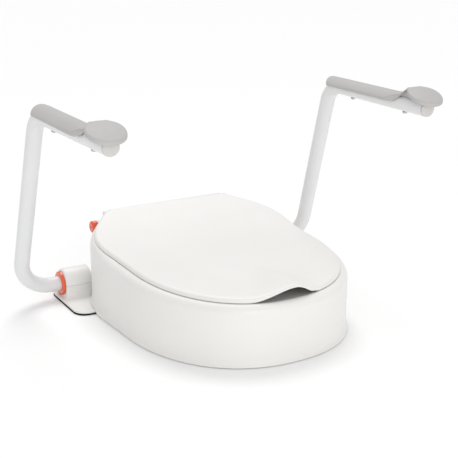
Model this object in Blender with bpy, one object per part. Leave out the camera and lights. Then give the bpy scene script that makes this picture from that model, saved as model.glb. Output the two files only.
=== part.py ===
"""Raised toilet seat with lid and two fold-back arm supports.

Metres, +Z up. The origin is on the floor plane under the middle of the whole object.
-Y is the front, +X is the user's left hand when seated (the right-hand side seen from the front).
"""
import math
import bpy
import bmesh
from mathutils import Matrix, Vector

# ---- driving dimensions -------------------------------------------------------------
GAP = 0.0003                 # clearance kept between neighbouring pieces

# plan outline of the seat body
FRONT_HALF_WIDTH = 0.1776
FRONT_REACH = 0.2197
FRONT_POWER = 2.25           # superellipse exponent of the nose
SIDE_KNEE = (0.1850, 0.1256)
REAR_CORNER = (0.1190, 0.2108)
REAR_CORNER_CUT = 0.012
STATIONS = 54                # steps round the outline

# heights of the seat body
DECK_HEIGHT = 0.1024         # rim under the lid's edge, at y = 0
DECK_SLOPE = 0.0414
DECK_RISE = 0.518            # extra rise towards the rear, per metre squared
WALL = 0.0035
LIP = 0.0029                 # bottom edge stands out from the wall
SKIRT_CLEARANCE = 0.0010
LID_INSET = 0.0120
BUFFER_HALF_LENGTH = 0.0120  # rubber blocks under the skirt
BUFFER_DEPTHS = (0.0018, 0.0110)
BUFFER_HEIGHT = 0.0090

# opening of the seat
HOLE_HALF_WIDTH = 0.105
HOLE_HALF_LENGTH = 0.1375
HOLE_CENTRE_Y = -0.020
COLLAR_BOTTOM = 0.030

# lid
LID_EDGE_HEIGHT = 0.0076
LID_THICKNESS = 0.0040
WAVE_LIFT = 0.0098
WAVE_PEAK_X = 0.006
WAVE_LEFT_X = -0.060
WAVE_RIGHT_X = 0.042
WAVE_START_Y = -0.085
LID_BUFFER_RADIUS = 0.0065

# hinges
SEAT_AXIS = (0.190, 0.1158)          # y, z
LID_AXIS = (0.1985, 0.1315)
LID_BARREL_RADIUS = 0.0073
LID_PIN_RADIUS = 0.0024
LID_PIN_START_X = 0.0985
RECESS_HALF_WIDTH = 0.1085
RECESS_FRONT_Y = 0.172
TOWER_SLOT_X = 0.0915
TOWER_SLOT_END_X = 0.1082
TROUGH_FRONT_Y = 0.1893
TROUGH_BOTTOM = 0.1228
EAR_X = (0.1090, 0.1190)
EAR_RADIUS = 0.0135
TOWER_X = (0.0945, 0.1065)
TOWER_RADIUS = 0.0100
SHAFT_RADIUS = 0.0040
SHAFT_X = (0.0980, 0.1435)
SHAFT_COLLAR_X = (0.1165, 0.1185)
SHAFT_COLLAR_RADIUS = 0.0070
GUIDE_X = (0.1093, 0.1364)
GUIDE_RADIUS = 0.0100
GUIDE_CHAMBER_X = (0.1162, 0.1340)
GUIDE_CHAMBER_RADIUS = 0.0078
SPRING_TURNS = 4.5
SPRING_WIRE = 0.0010
KNOB_X = (0.1370, 0.1470)
KNOB_RADIUS = 0.0104
KNOB_POCKET = 0.0116

# mounting bracket
MAT_THICKNESS = 0.0020
PLATE_TOP = 0.0060
WING_X = 0.2130
WING_INNER_X = 0.1300
WING_FRONT_Y = 0.0940
BRIDGE_FRONT_Y = 0.1400
BRACKET_REAR_Y = 0.2226
WING_CORNER = 0.0220
SLOT_X = 0.0775              # the two bowl bolts stand 155 mm apart
SLOT_WIDTH = 0.0095
SLOT_Y = (0.1560, 0.2040)

# arm pivots
PIVOT_Y = 0.1900
PIVOT_Z = 0.0265
HOUSING_X = (0.1620, 0.2035)
HOUSING_RADIUS = 0.0240
CHAMBER_X = (0.1650, 0.1735)
CHAMBER_RADIUS = 0.0200
TUBE_RADIUS = 0.0125
TUBE_WALL = 0.0015
TUBE_SIDES = 14
BUSH_BORE = 0.01285
BUSH_RADIUS = 0.0154
FLANGE_RADIUS = 0.0200
FLANGE_X = (0.2038, 0.2085)
STOP_PIN_X = 0.1692
STOP_PIN_RADIUS = 0.0025
COVER_SCREW_X = 0.1900
COVER_SCREW_OFFSET_Y = 0.0197

# arm frame, centre line corners
ARM_START_X = 0.1660
ARM_LOW = (0.2780, 0.1900, 0.0265)
ARM_HIGH = (0.2666, 0.0867, 0.3390)
ARM_END = (0.2605, -0.1720, 0.3390)
LOW_BEND = 0.055
HIGH_BEND = 0.045

# armrest pad
PAD_X = 0.2625
PAD_TOP = 0.3548
PAD_SKIRT = 0.3420
PAD_HALF_WIDTH = 0.0215
PAD_REAR_Y = 0.0800
WAIST_Y = -0.1060
WAIST_HALF_WIDTH = 0.0150
DISC_Y = -0.1640
DISC_Z = 0.3600
DISC_RADIUS = 0.0280
DISC_TILT = 0.36
DISC_THICKNESS = 0.0062
PAD_SCREW_Y = (0.0190, -0.1200)
PAD_SCREW_RADIUS = 0.0022
PAD_SCREW_HEAD = 0.0042
PAD_CHANNEL_GAP = 0.0010

WHITE = (0.86, 0.855, 0.84)
COOL_WHITE = (0.84, 0.84, 0.84)
GREY = (0.60, 0.59, 0.575)
ORANGE = (0.85, 0.10, 0.02)
BLACK = (0.02, 0.02, 0.02)
STEEL = (0.45, 0.45, 0.46)

SIDES = {"left": -1, "right": 1}


# ---- scene and material helpers -----------------------------------------------------
def clear_scene():
    for obj in list(bpy.data.objects):
        bpy.data.objects.remove(obj, do_unlink=True)


def material(name, colour, roughness, metallic=0.0):
    mat = bpy.data.materials.new(name)
    mat.use_nodes = True
    bsdf = mat.node_tree.nodes["Principled BSDF"]
    bsdf.inputs["Base Color"].default_value = (*colour, 1)
    bsdf.inputs["Roughness"].default_value = roughness
    bsdf.inputs["Metallic"].default_value = metallic
    return mat


def joint_empty(name, y, z):
    """An empty on a hinge axis that runs along X."""
    empty = bpy.data.objects.new(name, None)
    empty.location = (0, y, z)
    bpy.context.collection.objects.link(empty)
    return empty


def finish_mesh(bm, name):
    bmesh.ops.remove_doubles(bm, verts=bm.verts, dist=1e-6)
    bmesh.ops.recalc_face_normals(bm, faces=bm.faces)
    mesh = bpy.data.meshes.new(name)
    bm.to_mesh(mesh)
    bm.free()
    mesh.shade_smooth()
    mesh.set_sharp_from_angle(angle=math.radians(35))
    return mesh


def place(mesh, name, look, parent=None):
    obj = bpy.data.objects.new(name, mesh)
    obj.data.materials.clear()
    obj.data.materials.append(look)
    bpy.context.collection.objects.link(obj)
    if parent is not None:
        obj.parent = parent
        obj.matrix_parent_inverse = Matrix.Translation(parent.location).inverted()
    return obj


def cutter(mesh, name):
    obj = bpy.data.objects.new(name, mesh)
    obj.hide_render = True
    obj.display_type = "WIRE"
    bpy.context.collection.objects.link(obj)
    return obj


def combine(obj, mesh, operation, solver):
    """Add a Boolean with its own tool object to obj."""
    tool = cutter(mesh, f"tool_{obj.name}_{len(obj.modifiers)}")
    mod = obj.modifiers.new(f"{operation.lower()}_{len(obj.modifiers)}", "BOOLEAN")
    mod.operation = operation
    mod.solver = solver
    mod.object = tool


def cut(obj, mesh, solver="EXACT"):
    combine(obj, mesh, "DIFFERENCE", solver)


def join(obj, mesh, solver="EXACT"):
    combine(obj, mesh, "UNION", solver)


# ---- mesh builders ------------------------------------------------------------------
def ring_loft(rings, name, closed=True, poles=None):
    """Skin rings of equal length. closed joins the last ring to the first."""
    bm = bmesh.new()
    loops = [[bm.verts.new(p) for p in ring] for ring in rings]
    pairs = list(zip(loops, loops[1:]))
    if closed:
        pairs.append((loops[-1], loops[0]))
    count = len(rings[0])
    for a, b in pairs:
        for i in range(count):
            j = (i + 1) % count
            bm.faces.new((a[i], a[j], b[j], b[i]))
    if poles:
        for loop, point in ((loops[0], poles[0]), (loops[-1], poles[1])):
            tip = bm.verts.new(point)
            for i in range(count):
                bm.faces.new((loop[i], loop[(i + 1) % count], tip))
    elif not closed:
        bm.faces.new(loops[0])
        bm.faces.new(loops[-1])
    return finish_mesh(bm, name)


def box(low, high, name="box"):
    bm = bmesh.new()
    bmesh.ops.create_cube(bm, size=1)
    size = Vector(high) - Vector(low)
    middle = (Vector(high) + Vector(low)) / 2
    bmesh.ops.transform(bm, matrix=Matrix.Translation(middle) @ Matrix.Diagonal((*size, 1)), verts=bm.verts)
    return finish_mesh(bm, name)


def prism(points, start, end, axis, name):
    """Extrude a flat outline along X ("x": points are y, z) or Z ("z": points are x, y)."""
    def at(point, t):
        return (t, *point) if axis == "x" else (*point, t)
    rings = [[at(p, t) for p in points] for t in (start, end)]
    return ring_loft(rings, name, closed=False)


def turned(profile, centre, axis, sides, name, arc=math.tau):
    """Turn (along, radius) points round an axis along x, y or z. The profile is a closed loop."""
    frames = {"x": (0, 1, 2), "y": (1, 2, 0), "z": (2, 0, 1)}
    along, across, up = frames[axis]
    whole = arc >= math.tau - 1e-6
    steps = sides if whole else sides + 1
    rings = []
    for i in range(steps):
        angle = arc * i / sides
        ring = []
        for t, r in profile:
            p = [0.0, 0.0, 0.0]
            p[along] = centre[along] + t
            p[across] = centre[across] + r * math.cos(angle)
            p[up] = centre[up] + r * math.sin(angle)
            ring.append(tuple(p))
        rings.append(ring)
    return ring_loft(rings, name, closed=whole)


def rod(start, length, radius, axis, sides=16, name="rod"):
    """A plain solid cylinder that starts at a point and runs along an axis."""
    along = "xyz".index(axis)
    rings = []
    for t in (0, length):
        ring = []
        for i in range(sides):
            angle = math.tau * (i + 0.5) / sides
            p = list(start)
            p[along] += t
            p[(along + 1) % 3] += radius * math.cos(angle)
            p[(along + 2) % 3] += radius * math.sin(angle)
            ring.append(tuple(p))
        rings.append(ring)
    return ring_loft(rings, name, closed=False)


def arc_points(centre, radius, start_deg, end_deg, steps):
    points = []
    for i in range(steps + 1):
        angle = math.radians(start_deg + (end_deg - start_deg) * i / steps)
        points.append((centre[0] + radius * math.cos(angle), centre[1] + radius * math.sin(angle)))
    return points


def smooth_step(low, high, value):
    t = min(1.0, max(0.0, (value - low) / (high - low)))
    return t * t * (3 - 2 * t)


# ---- plan outline and deck ----------------------------------------------------------
def cut_corners(points, ratio, times):
    """Round an open chain of points by cutting its corners again and again."""
    for _ in range(times):
        chain = [points[0]]
        for a, b in zip(points, points[1:]):
            chain.append(a.lerp(b, ratio))
            chain.append(a.lerp(b, 1 - ratio))
        chain.append(points[-1])
        points = chain
    return points


def half_outline():
    """The +X half, from the middle of the front to the middle of the rear."""
    front = []
    steps = 60
    for i in range(steps + 1):
        angle = math.pi / 2 * i / steps
        power = 2 / FRONT_POWER
        x = FRONT_HALF_WIDTH * math.sin(angle) ** power
        y = -FRONT_REACH * math.cos(angle) ** power
        front.append(Vector((x, y)))
    corner = Vector(REAR_CORNER)
    towards_side = (Vector(SIDE_KNEE) - corner).normalized()
    rear = [
        Vector((FRONT_HALF_WIDTH, 0)),
        Vector(SIDE_KNEE),
        corner + towards_side * REAR_CORNER_CUT,
        corner - Vector((REAR_CORNER_CUT, 0)),
        Vector((0, corner.y)),
    ]
    return front[:-1] + cut_corners(rear, 0.25, 4)


def outline_points():
    """STATIONS points and outward normals round the plan, closer together at the nose."""
    half = half_outline()
    loop = half + [Vector((-p.x, p.y)) for p in reversed(half[1:-1])]
    lengths = [0.0]
    closed = loop + [loop[0]]
    for a, b in zip(closed, closed[1:]):
        weight = 1.7 if (a.y + b.y) / 2 < -0.165 else 1.0
        lengths.append(lengths[-1] + (b - a).length * weight)
    result = []
    k = 0
    for i in range(STATIONS):
        target = lengths[-1] * i / STATIONS
        while lengths[k + 1] < target:
            k += 1
        share = (target - lengths[k]) / (lengths[k + 1] - lengths[k])
        result.append(closed[k].lerp(closed[k + 1], share))
    normals = []
    for i in range(STATIONS):
        along = result[(i + 1) % STATIONS] - result[i - 1]
        normals.append(Vector((along.y, -along.x)).normalized())
    return result, normals


OUTLINE, NORMALS = outline_points()


def offset_outline(inset):
    return [p - n * inset for p, n in zip(OUTLINE, NORMALS)]


def hole_outline(grow=0.0):
    """The seat opening, station by station opposite the outer outline."""
    points = []
    for p in OUTLINE:
        angle = math.atan2(p.y - HOLE_CENTRE_Y, p.x)
        a = HOLE_HALF_WIDTH + grow
        b = HOLE_HALF_LENGTH + grow
        reach = 1 / math.hypot(math.cos(angle) / a, math.sin(angle) / b)
        points.append(Vector((reach * math.cos(angle), HOLE_CENTRE_Y + reach * math.sin(angle))))
    return points


def deck(y):
    return DECK_HEIGHT + DECK_SLOPE * y + DECK_RISE * max(0.0, y) ** 2


def deck_ring(points, drop):
    return [(p.x, p.y, deck(p.y) + drop) for p in points]


def level_ring(points, z):
    return [(p.x, p.y, z) for p in points]


def mix_outlines(a, b, share):
    return [p.lerp(q, share) for p, q in zip(a, b)]


# ---- seat body ----------------------------------------------------------------------
def seat_shell(look, parent):
    outer = offset_outline(0)
    rim = offset_outline(LID_INSET)
    hole = hole_outline()
    inner = offset_outline(WALL)
    collar = hole_outline(0.003)
    # one closed section: up the outside, over the rim, down the collar, and back inside the skirt
    rings = [
        level_ring(offset_outline(-LIP), SKIRT_CLEARANCE),
        level_ring(offset_outline(-LIP), 0.0040),
        level_ring(outer, 0.0075),
        deck_ring(outer, -0.0115),
        deck_ring(offset_outline(0.0016), -0.0055),
        deck_ring(offset_outline(0.0055), -0.0015),
        deck_ring(rim, 0),
        deck_ring(mix_outlines(rim, hole, 0.35), -0.0045),
        deck_ring(mix_outlines(rim, hole, 0.90), -0.0110),
        deck_ring(hole, -0.0180),
        level_ring(hole, COLLAR_BOTTOM),
        level_ring(collar, COLLAR_BOTTOM),
        deck_ring(collar, -0.0190),
        deck_ring(mix_outlines(rim, hole, 0.80), -0.0145),
        deck_ring(mix_outlines(rim, hole, 0.35), -0.0080),
        deck_ring(rim, -0.0036),
        deck_ring(offset_outline(0.0060), -0.0052),
        deck_ring(inner, -0.0120),
        level_ring(inner, SKIRT_CLEARANCE),
    ]
    obj = place(ring_loft(rings, "seat_shell"), "seat_shell", look, parent)
    for side in SIDES.values():
        join(obj, hinge_ear(side))
    join(obj, trough_floor())
    trough_low = (-RECESS_HALF_WIDTH, TROUGH_FRONT_Y, TROUGH_BOTTOM)
    cut(obj, box(trough_low, (RECESS_HALF_WIDTH, 0.24, 0.20), "lid_trough"), "MANIFOLD")
    for side in SIDES.values():
        start, end = sorted((side * TOWER_SLOT_X, side * TOWER_SLOT_END_X))
        cut(obj, box((start, RECESS_FRONT_Y, -0.012), (end, 0.25, 0.21), "tower_slot"), "MANIFOLD")
    cut(obj, wing_notch(), "MANIFOLD")
    for side in SIDES.values():
        start = side * (EAR_X[0] - 0.002)
        guide_hole = rod((start, *SEAT_AXIS), side * 0.040, GUIDE_RADIUS + GAP, "x", 20, "guide_hole")
        pin_hole = rod((start, *LID_AXIS), side * 0.0140, LID_PIN_RADIUS + GAP, "x", 12, "pin_hole")
        pocket_start = (side * (GUIDE_X[1] - 0.001), *SEAT_AXIS)
        knob_hole = rod(pocket_start, side * 0.02, KNOB_POCKET, "x", 20, "knob_pocket")
        cut(obj, guide_hole, "MANIFOLD")
        cut(obj, knob_hole, "MANIFOLD")
        cut(obj, pin_hole, "MANIFOLD")
    return obj


def hinge_ear(side):
    """The block beside the recess that holds the pin guide and, above it, the lid's pin."""
    low = Vector(SEAT_AXIS)
    high = Vector(LID_AXIS)
    points = arc_points(low, EAR_RADIUS, 160, 350, 7)
    points += arc_points(high, LID_BARREL_RADIUS, -10, 170, 7)
    start, end = sorted((side * EAR_X[0], side * EAR_X[1]))
    return prism(points, start, end, "x", "hinge_ear")


def trough_floor():
    """An L-shaped strip that ties the rear wall to the deck under the lid's barrel."""
    front = TROUGH_FRONT_Y - 0.0058
    step = TROUGH_FRONT_Y - 0.0021
    back = REAR_CORNER[1] - WALL / 2
    low = TROUGH_BOTTOM - 0.0043
    points = [(front, low), (back, low), (back, TROUGH_BOTTOM - 0.0006), (step, TROUGH_BOTTOM - 0.0006),
              (step, TROUGH_BOTTOM + 0.0034), (front, TROUGH_BOTTOM + 0.0034)]
    half = TOWER_SLOT_X + 0.002
    return prism(points, -half, half, "x", "trough_floor")


def wing_notch():
    """Clearance over the bracket plate, higher behind the hinge axis where the skirt dips."""
    points = [
        (WING_FRONT_Y - 0.002, -0.01),
        (WING_FRONT_Y - 0.002, PLATE_TOP + 0.0008),
        (0.186, PLATE_TOP + 0.0008),
        (0.194, PLATE_TOP + 0.0070),
        (0.240, PLATE_TOP + 0.0070),
        (0.240, -0.01),
    ]
    return prism(points, -0.22, 0.22, "x", "wing_notch")


def pin_guide(side, name, look, parent):
    y, z = SEAT_AXIS
    a, b = GUIDE_X
    c, d = GUIDE_CHAMBER_X
    bore = SHAFT_RADIUS + GAP
    profile = [
        (a, bore), (a, GUIDE_RADIUS), (b, GUIDE_RADIUS), (b, bore),
        (d, bore), (d, GUIDE_CHAMBER_RADIUS), (c, GUIDE_CHAMBER_RADIUS), (c, bore),
    ]
    mirrored = [(side * t, r) for t, r in profile]
    return place(turned(mirrored, (0, y, z), "x", 16, name), name, look, parent)


def seat_buffers(look, parent):
    """Rubber blocks under the skirt, clipped to its inner face."""
    spots = {"front_left": 40, "front_right": -40, "side_left": 96, "side_right": -96}
    objects = []
    for spot, turn in spots.items():
        heading = math.radians(-90 - turn)
        direction = Vector((math.cos(heading), math.sin(heading)))
        best = max(range(STATIONS), key=lambda i: OUTLINE[i].normalized().dot(direction))
        point = OUTLINE[best] - NORMALS[best] * (WALL + GAP)
        inward = -NORMALS[best]
        along = Vector((-inward.y, inward.x))
        corners = []
        near, far = BUFFER_DEPTHS
        for s, t in ((-1, near), (1, near), (1, far), (-1, far)):
            q = point + along * BUFFER_HALF_LENGTH * s + inward * t
            corners.append((q.x, q.y))
        name = f"seat_buffer_{spot}"
        objects.append(place(prism(corners, 0.0, BUFFER_HEIGHT, "z", name), name, look, parent))
    return objects


# ---- lid ----------------------------------------------------------------------------
def wave(x, y):
    """How far the finger wave lifts the front of the lid, from 0 to 1."""
    left = smooth_step(WAVE_LEFT_X, WAVE_PEAK_X, x)
    right = 1 - smooth_step(WAVE_PEAK_X + 0.004, WAVE_RIGHT_X, x)
    forward = smooth_step(WAVE_START_Y, -FRONT_REACH, y)
    return min(left, right) * forward


def lid_ring(points, height, edge=0.0):
    ring = []
    for p in points:
        lift = wave(p.x, p.y)
        z = deck(p.y) + height + lift * (WAVE_LIFT + edge)
        ring.append((p.x, p.y, z))
    return ring


def lid_panel(look, parent):
    centre = [Vector((0, 0.01)) for _ in OUTLINE]
    edge = offset_outline(LID_INSET)
    field = offset_outline(LID_INSET + 0.010)
    under = LID_EDGE_HEIGHT - LID_THICKNESS
    crown = LID_EDGE_HEIGHT - 0.0015
    rings = [
        lid_ring(mix_outlines(field, centre, 0.97), crown),
        lid_ring(mix_outlines(field, centre, 0.66), crown),
        lid_ring(mix_outlines(field, centre, 0.33), crown + 0.0008),
        lid_ring(field, LID_EDGE_HEIGHT),
        lid_ring(offset_outline(LID_INSET + 0.004), LID_EDGE_HEIGHT - 0.0003),
        lid_ring(offset_outline(LID_INSET + 0.0008), LID_EDGE_HEIGHT - 0.0022),
        lid_ring(edge, 0.0008, 0.0030),
        lid_ring(offset_outline(LID_INSET + 0.0032), 0.0008, 0.0030),
        lid_ring(offset_outline(LID_INSET + 0.0042), under),
        lid_ring(mix_outlines(field, centre, 0.33), under),
        lid_ring(mix_outlines(field, centre, 0.66), crown - LID_THICKNESS),
        lid_ring(mix_outlines(field, centre, 0.97), crown - LID_THICKNESS),
    ]
    middle = deck(0.01) + crown
    poles = ((0, 0.01, middle), (0, 0.01, middle - LID_THICKNESS))
    obj = place(ring_loft(rings, "lid_panel", closed=False, poles=poles), "lid_panel", look, parent)
    y, z = LID_AXIS
    half = RECESS_HALF_WIDTH - GAP
    for side in SIDES.values():
        start, end = sorted((side * half, side * 0.16))
        cut(obj, box((start, y - 0.0165, 0.10), (end, 0.24, 0.16), "corner_notch"))
    join(obj, rod((-half, y, z), 2 * half, LID_BARREL_RADIUS, "x", 20, "barrel"))
    for side in SIDES.values():
        start = (side * (LID_PIN_START_X - 0.0005), y, z)
        cut(obj, rod(start, side * 0.014, LID_PIN_RADIUS + GAP, "x", 12, "pin_bore"))
    return obj


def lid_buffers(look, parent):
    objects = []
    spots = {
        "front_left": (-0.080, -0.150), "front_right": (0.080, -0.150),
        "rear_left": (-0.128, 0.080), "rear_right": (0.128, 0.080),
    }
    top = LID_EDGE_HEIGHT - LID_THICKNESS - 0.0012
    for spot, (x, y) in spots.items():
        name = f"lid_buffer_{spot}"
        bottom = deck(y) - 0.0008
        mesh = rod((x, y, bottom), deck(y) + top - bottom, LID_BUFFER_RADIUS, "z", 12, name)
        objects.append(place(mesh, name, look, parent))
    return objects


def lid_pin(side, name, look, parent):
    y, z = LID_AXIS
    start = (side * LID_PIN_START_X, y, z)
    mesh = rod(start, side * (EAR_X[1] - LID_PIN_START_X), LID_PIN_RADIUS, "x", 12, name)
    return place(mesh, name, look, parent)


# ---- seat release pins --------------------------------------------------------------
def release_shaft(side, name, look, parent):
    y, z = SEAT_AXIS
    a, b = SHAFT_X
    c, d = SHAFT_COLLAR_X
    r = SHAFT_RADIUS
    rings = []
    for t, radius in ((a, r - 0.0008), (a + 0.001, r), (c, r), (c, SHAFT_COLLAR_RADIUS),
                      (d, SHAFT_COLLAR_RADIUS), (d, r), (b, r)):
        ring = []
        for i in range(12):
            angle = math.tau * i / 12
            ring.append((side * t, y + radius * math.cos(angle), z + radius * math.sin(angle)))
        rings.append(ring)
    return place(ring_loft(rings, name, closed=False), name, look, parent)


def release_knob(side, name, look, parent):
    y, z = SEAT_AXIS
    a, b = KNOB_X
    bore = SHAFT_RADIUS + GAP
    r = KNOB_RADIUS
    profile = [(a, bore), (a, r - 0.0006), (a + 0.0006, r), (b - 0.0030, r), (b - 0.0010, r - 0.0016),
               (b, r - 0.0052), (b, 0.0015), (b - 0.0030, 0.0015), (b - 0.0030, bore)]
    mirrored = [(side * t, radius) for t, radius in profile]
    return place(turned(mirrored, (0, y, z), "x", 18, name), name, look, parent)


def release_spring(side, name, look, parent):
    """A wire coil between the shaft's collar and the end of the guide's chamber."""
    y, z = SEAT_AXIS
    start = SHAFT_COLLAR_X[1] + SPRING_WIRE
    end = GUIDE_CHAMBER_X[1] - SPRING_WIRE
    radius = (SHAFT_RADIUS + GUIDE_CHAMBER_RADIUS) / 2 + GAP
    steps = int(SPRING_TURNS * 8)
    rings = []
    for i in range(steps + 1):
        share = i / steps
        angle = math.tau * SPRING_TURNS * share
        outward = Vector((0, math.cos(angle), math.sin(angle)))
        centre = Vector((side * (start + (end - start) * share), y, z)) + outward * radius
        ring = []
        for k in range(4):
            turn = math.tau * k / 4
            offset = outward * math.cos(turn) + Vector((side, 0, 0)) * math.sin(turn)
            ring.append(tuple(centre + offset * SPRING_WIRE / 2))
        rings.append(ring)
    return place(ring_loft(rings, name, closed=False), name, look, parent)


# ---- mounting bracket ---------------------------------------------------------------
def bracket_outline(grow=0.0):
    """Plan of the bracket: two wings joined by a bridge behind the bowl."""
    r = WING_CORNER
    x = WING_X + grow
    front = WING_FRONT_Y - grow
    rear = BRACKET_REAR_Y
    points = [(0.0, rear), (x - r, rear)]
    points += arc_points((x - r, rear - r), r, 90, 0, 5)[1:]
    points += arc_points((x - r, front + r), r, 0, -90, 5)
    points += [(WING_INNER_X + 0.010, front), (WING_INNER_X - grow, front + 0.010)]
    points += [(WING_INNER_X - 0.012, BRIDGE_FRONT_Y - 0.012), (WING_INNER_X - 0.030, BRIDGE_FRONT_Y)]
    left = [(-px, py) for px, py in reversed(points[1:])]
    return points + left


def housing_block(side):
    """Lower half of a pivot housing, flared into the plate."""
    # height, half depth front to back, spread outwards along X, spread inwards along X
    layers = [
        (PLATE_TOP - 0.002, 0.034, 0.0070, -0.0080),
        (PLATE_TOP, 0.034, 0.0070, -0.0080),
        (PLATE_TOP + 0.0025, 0.029, 0.0035, -0.0050),
        (PLATE_TOP + 0.0070, 0.0255, 0.0010, -0.0010),
        (PIVOT_Z - GAP / 2, HOUSING_RADIUS, 0.0, 0.0),
    ]
    rings = []
    for z, half, out, inward in layers:
        rear = min(PIVOT_Y + half, BRACKET_REAR_Y - 0.0005)
        a, b = HOUSING_X[0] - inward, HOUSING_X[1] + out
        corners = [(a, PIVOT_Y - half), (b, PIVOT_Y - half), (b, rear), (a, rear)]
        rings.append([(side * px, py, z) for px, py in corners])
    return ring_loft(rings, "housing_block", closed=False)


def tower(side):
    """Upright that carries the seat's hinge pin, kept clear of the lid behind the axis."""
    y, z = SEAT_AXIS
    points = arc_points((y, z), TOWER_RADIUS, 0, 180, 8)
    points += [(y - TOWER_RADIUS - 0.004, 0.060), (y - 0.026, PLATE_TOP - 0.002)]
    points += [(y + 0.018, PLATE_TOP - 0.002), (y + 0.006, 0.060), (y + 0.0055, z - 0.012)]
    start, end = sorted((side * TOWER_X[0], side * TOWER_X[1]))
    return prism(points, start, end, "x", "tower")


def slot_cutter(x):
    r = SLOT_WIDTH / 2
    points = arc_points((x, SLOT_Y[1] - r), r, 0, 180, 6)
    points += arc_points((x, SLOT_Y[0] + r), r, 180, 360, 6)
    return prism(points, -0.01, 0.02, "z", "slot")


def base_bracket(look):
    plate = prism(bracket_outline(), MAT_THICKNESS + GAP, PLATE_TOP, "z", "base_bracket")
    obj = place(plate, "base_bracket", look)
    for side in SIDES.values():
        join(obj, housing_block(side))
        join(obj, tower(side))
        groove = (side * CHAMBER_X[0], PIVOT_Y, PIVOT_Z)
        length = side * (HOUSING_X[1] + 0.010 - CHAMBER_X[0])
        cut(obj, rod(groove, length, BUSH_RADIUS + GAP, "x", 24, "groove"))
        flange_seat = (side * HOUSING_X[1], PIVOT_Y, PIVOT_Z)
        cut(obj, rod(flange_seat, side * 0.012, FLANGE_RADIUS + GAP, "x", 24, "flange_seat"))
        a, b = sorted((side * CHAMBER_X[0], side * CHAMBER_X[1]))
        shelf = PIVOT_Z - STOP_PIN_RADIUS - 0.0004
        cut(obj, box((a, PIVOT_Y - CHAMBER_RADIUS, shelf), (b, PIVOT_Y, 0.04), "pin_shelf"))
        for offset in (-COVER_SCREW_OFFSET_Y, COVER_SCREW_OFFSET_Y):
            hole = (side * COVER_SCREW_X, PIVOT_Y + offset, 0.0)
            cut(obj, rod(hole, 0.030, 0.0020, "z", 12, "screw_hole"))
            cut(obj, rod(hole, 0.0070, 0.0040, "z", 12, "screw_head_hole"))
        y, z = SEAT_AXIS
        start = side * (TOWER_X[0] - 0.002)
        cut(obj, rod((start, y, z), side * 0.016, SHAFT_RADIUS + GAP, "x", 16, "shaft_bore"))
        cut(obj, slot_cutter(side * SLOT_X))
    return obj


def grip_mat(side, name, look):
    """Black rubber mat under one wing, a little larger than the plate above it."""
    outline = [(x, y) for x, y in bracket_outline(0.0009) if x >= WING_INNER_X - 0.001]
    outline.append((WING_INNER_X - 0.0009, BRACKET_REAR_Y))
    points = [(side * x, y) for x, y in outline]
    obj = place(prism(points, 0.0, MAT_THICKNESS, "z", name), name, look)
    for offset in (-COVER_SCREW_OFFSET_Y, COVER_SCREW_OFFSET_Y):
        hole = (side * COVER_SCREW_X, PIVOT_Y + offset, -0.002)
        cut(obj, rod(hole, 0.006, 0.0045, "z", 10, "mat_hole"))
    return obj


def housing_cover(side, name, look):
    """Upper half of a pivot housing, a hollow half cylinder with rounded ends."""
    a, b = HOUSING_X
    c, d = CHAMBER_X
    r = HOUSING_RADIUS
    bore = BUSH_RADIUS + GAP
    profile = [(a, 0.004), (a, r - 0.0025), (a + 0.0025, r), (b - 0.0025, r), (b, r - 0.0025),
               (b, bore), (d, bore), (d, CHAMBER_RADIUS), (c, CHAMBER_RADIUS), (c, 0.004)]
    mirrored = [(side * t, radius) for t, radius in profile]
    centre = (0, PIVOT_Y, PIVOT_Z + GAP / 2)
    obj = place(turned(mirrored, centre, "x", 14, name, arc=math.pi), name, look)
    for offset in (-COVER_SCREW_OFFSET_Y, COVER_SCREW_OFFSET_Y):
        hole = (side * COVER_SCREW_X, PIVOT_Y + offset, PIVOT_Z - 0.002)
        cut(obj, rod(hole, 0.0110, 0.0019, "z", 10, "screw_bore"))
    return obj


def cover_screw(side, end, name, look):
    x = side * COVER_SCREW_X
    y = PIVOT_Y + end * COVER_SCREW_OFFSET_Y
    head, shank = 0.0036, 0.0015
    profile = ((0.0040, head - 0.0006), (0.0050, head), (0.0066, head), (0.0066, shank), (0.0340, shank))
    rings = []
    for z, radius in profile:
        ring = []
        for i in range(8):
            angle = math.tau * i / 8
            ring.append((x + radius * math.cos(angle), y + radius * math.sin(angle), z))
        rings.append(ring)
    return place(ring_loft(rings, name, closed=False), name, look)


def pivot_bush(side, name, look):
    a = CHAMBER_X[1] + GAP
    b, c = FLANGE_X
    r = FLANGE_RADIUS
    profile = [(a, BUSH_BORE), (a, BUSH_RADIUS), (b, BUSH_RADIUS), (b, r - 0.0006), (b + 0.0006, r),
               (c - 0.0012, r), (c, r - 0.0014), (c, BUSH_BORE)]
    mirrored = [(side * t, radius) for t, radius in profile]
    return place(turned(mirrored, (0, PIVOT_Y, PIVOT_Z), "x", 20, name), name, look)


# ---- arm supports -------------------------------------------------------------------
def arm_line(side):
    """Centre line of the bent tube: out along X, up, then forward."""
    start = Vector((ARM_START_X, ARM_LOW[1], ARM_LOW[2]))
    corners = ((Vector(ARM_LOW), LOW_BEND), (Vector(ARM_HIGH), HIGH_BEND))
    ends = [start, Vector(ARM_LOW), Vector(ARM_HIGH), Vector(ARM_END)]
    line = [start]
    for k, (corner, radius) in enumerate(corners):
        before = (ends[k] - corner).normalized()
        after = (ends[k + 2] - corner).normalized()
        half = before.angle(after) / 2
        reach = radius / math.tan(half)
        centre = corner + (before + after).normalized() * (radius / math.sin(half))
        first = corner + before * reach - centre
        last = corner + after * reach - centre
        for i in range(6):
            share = i / 5
            line.append(centre + first.normalized().slerp(last.normalized(), share) * radius)
    line.append(Vector(ARM_END))
    return [Vector((side * p.x, p.y, p.z)) for p in line]


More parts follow.
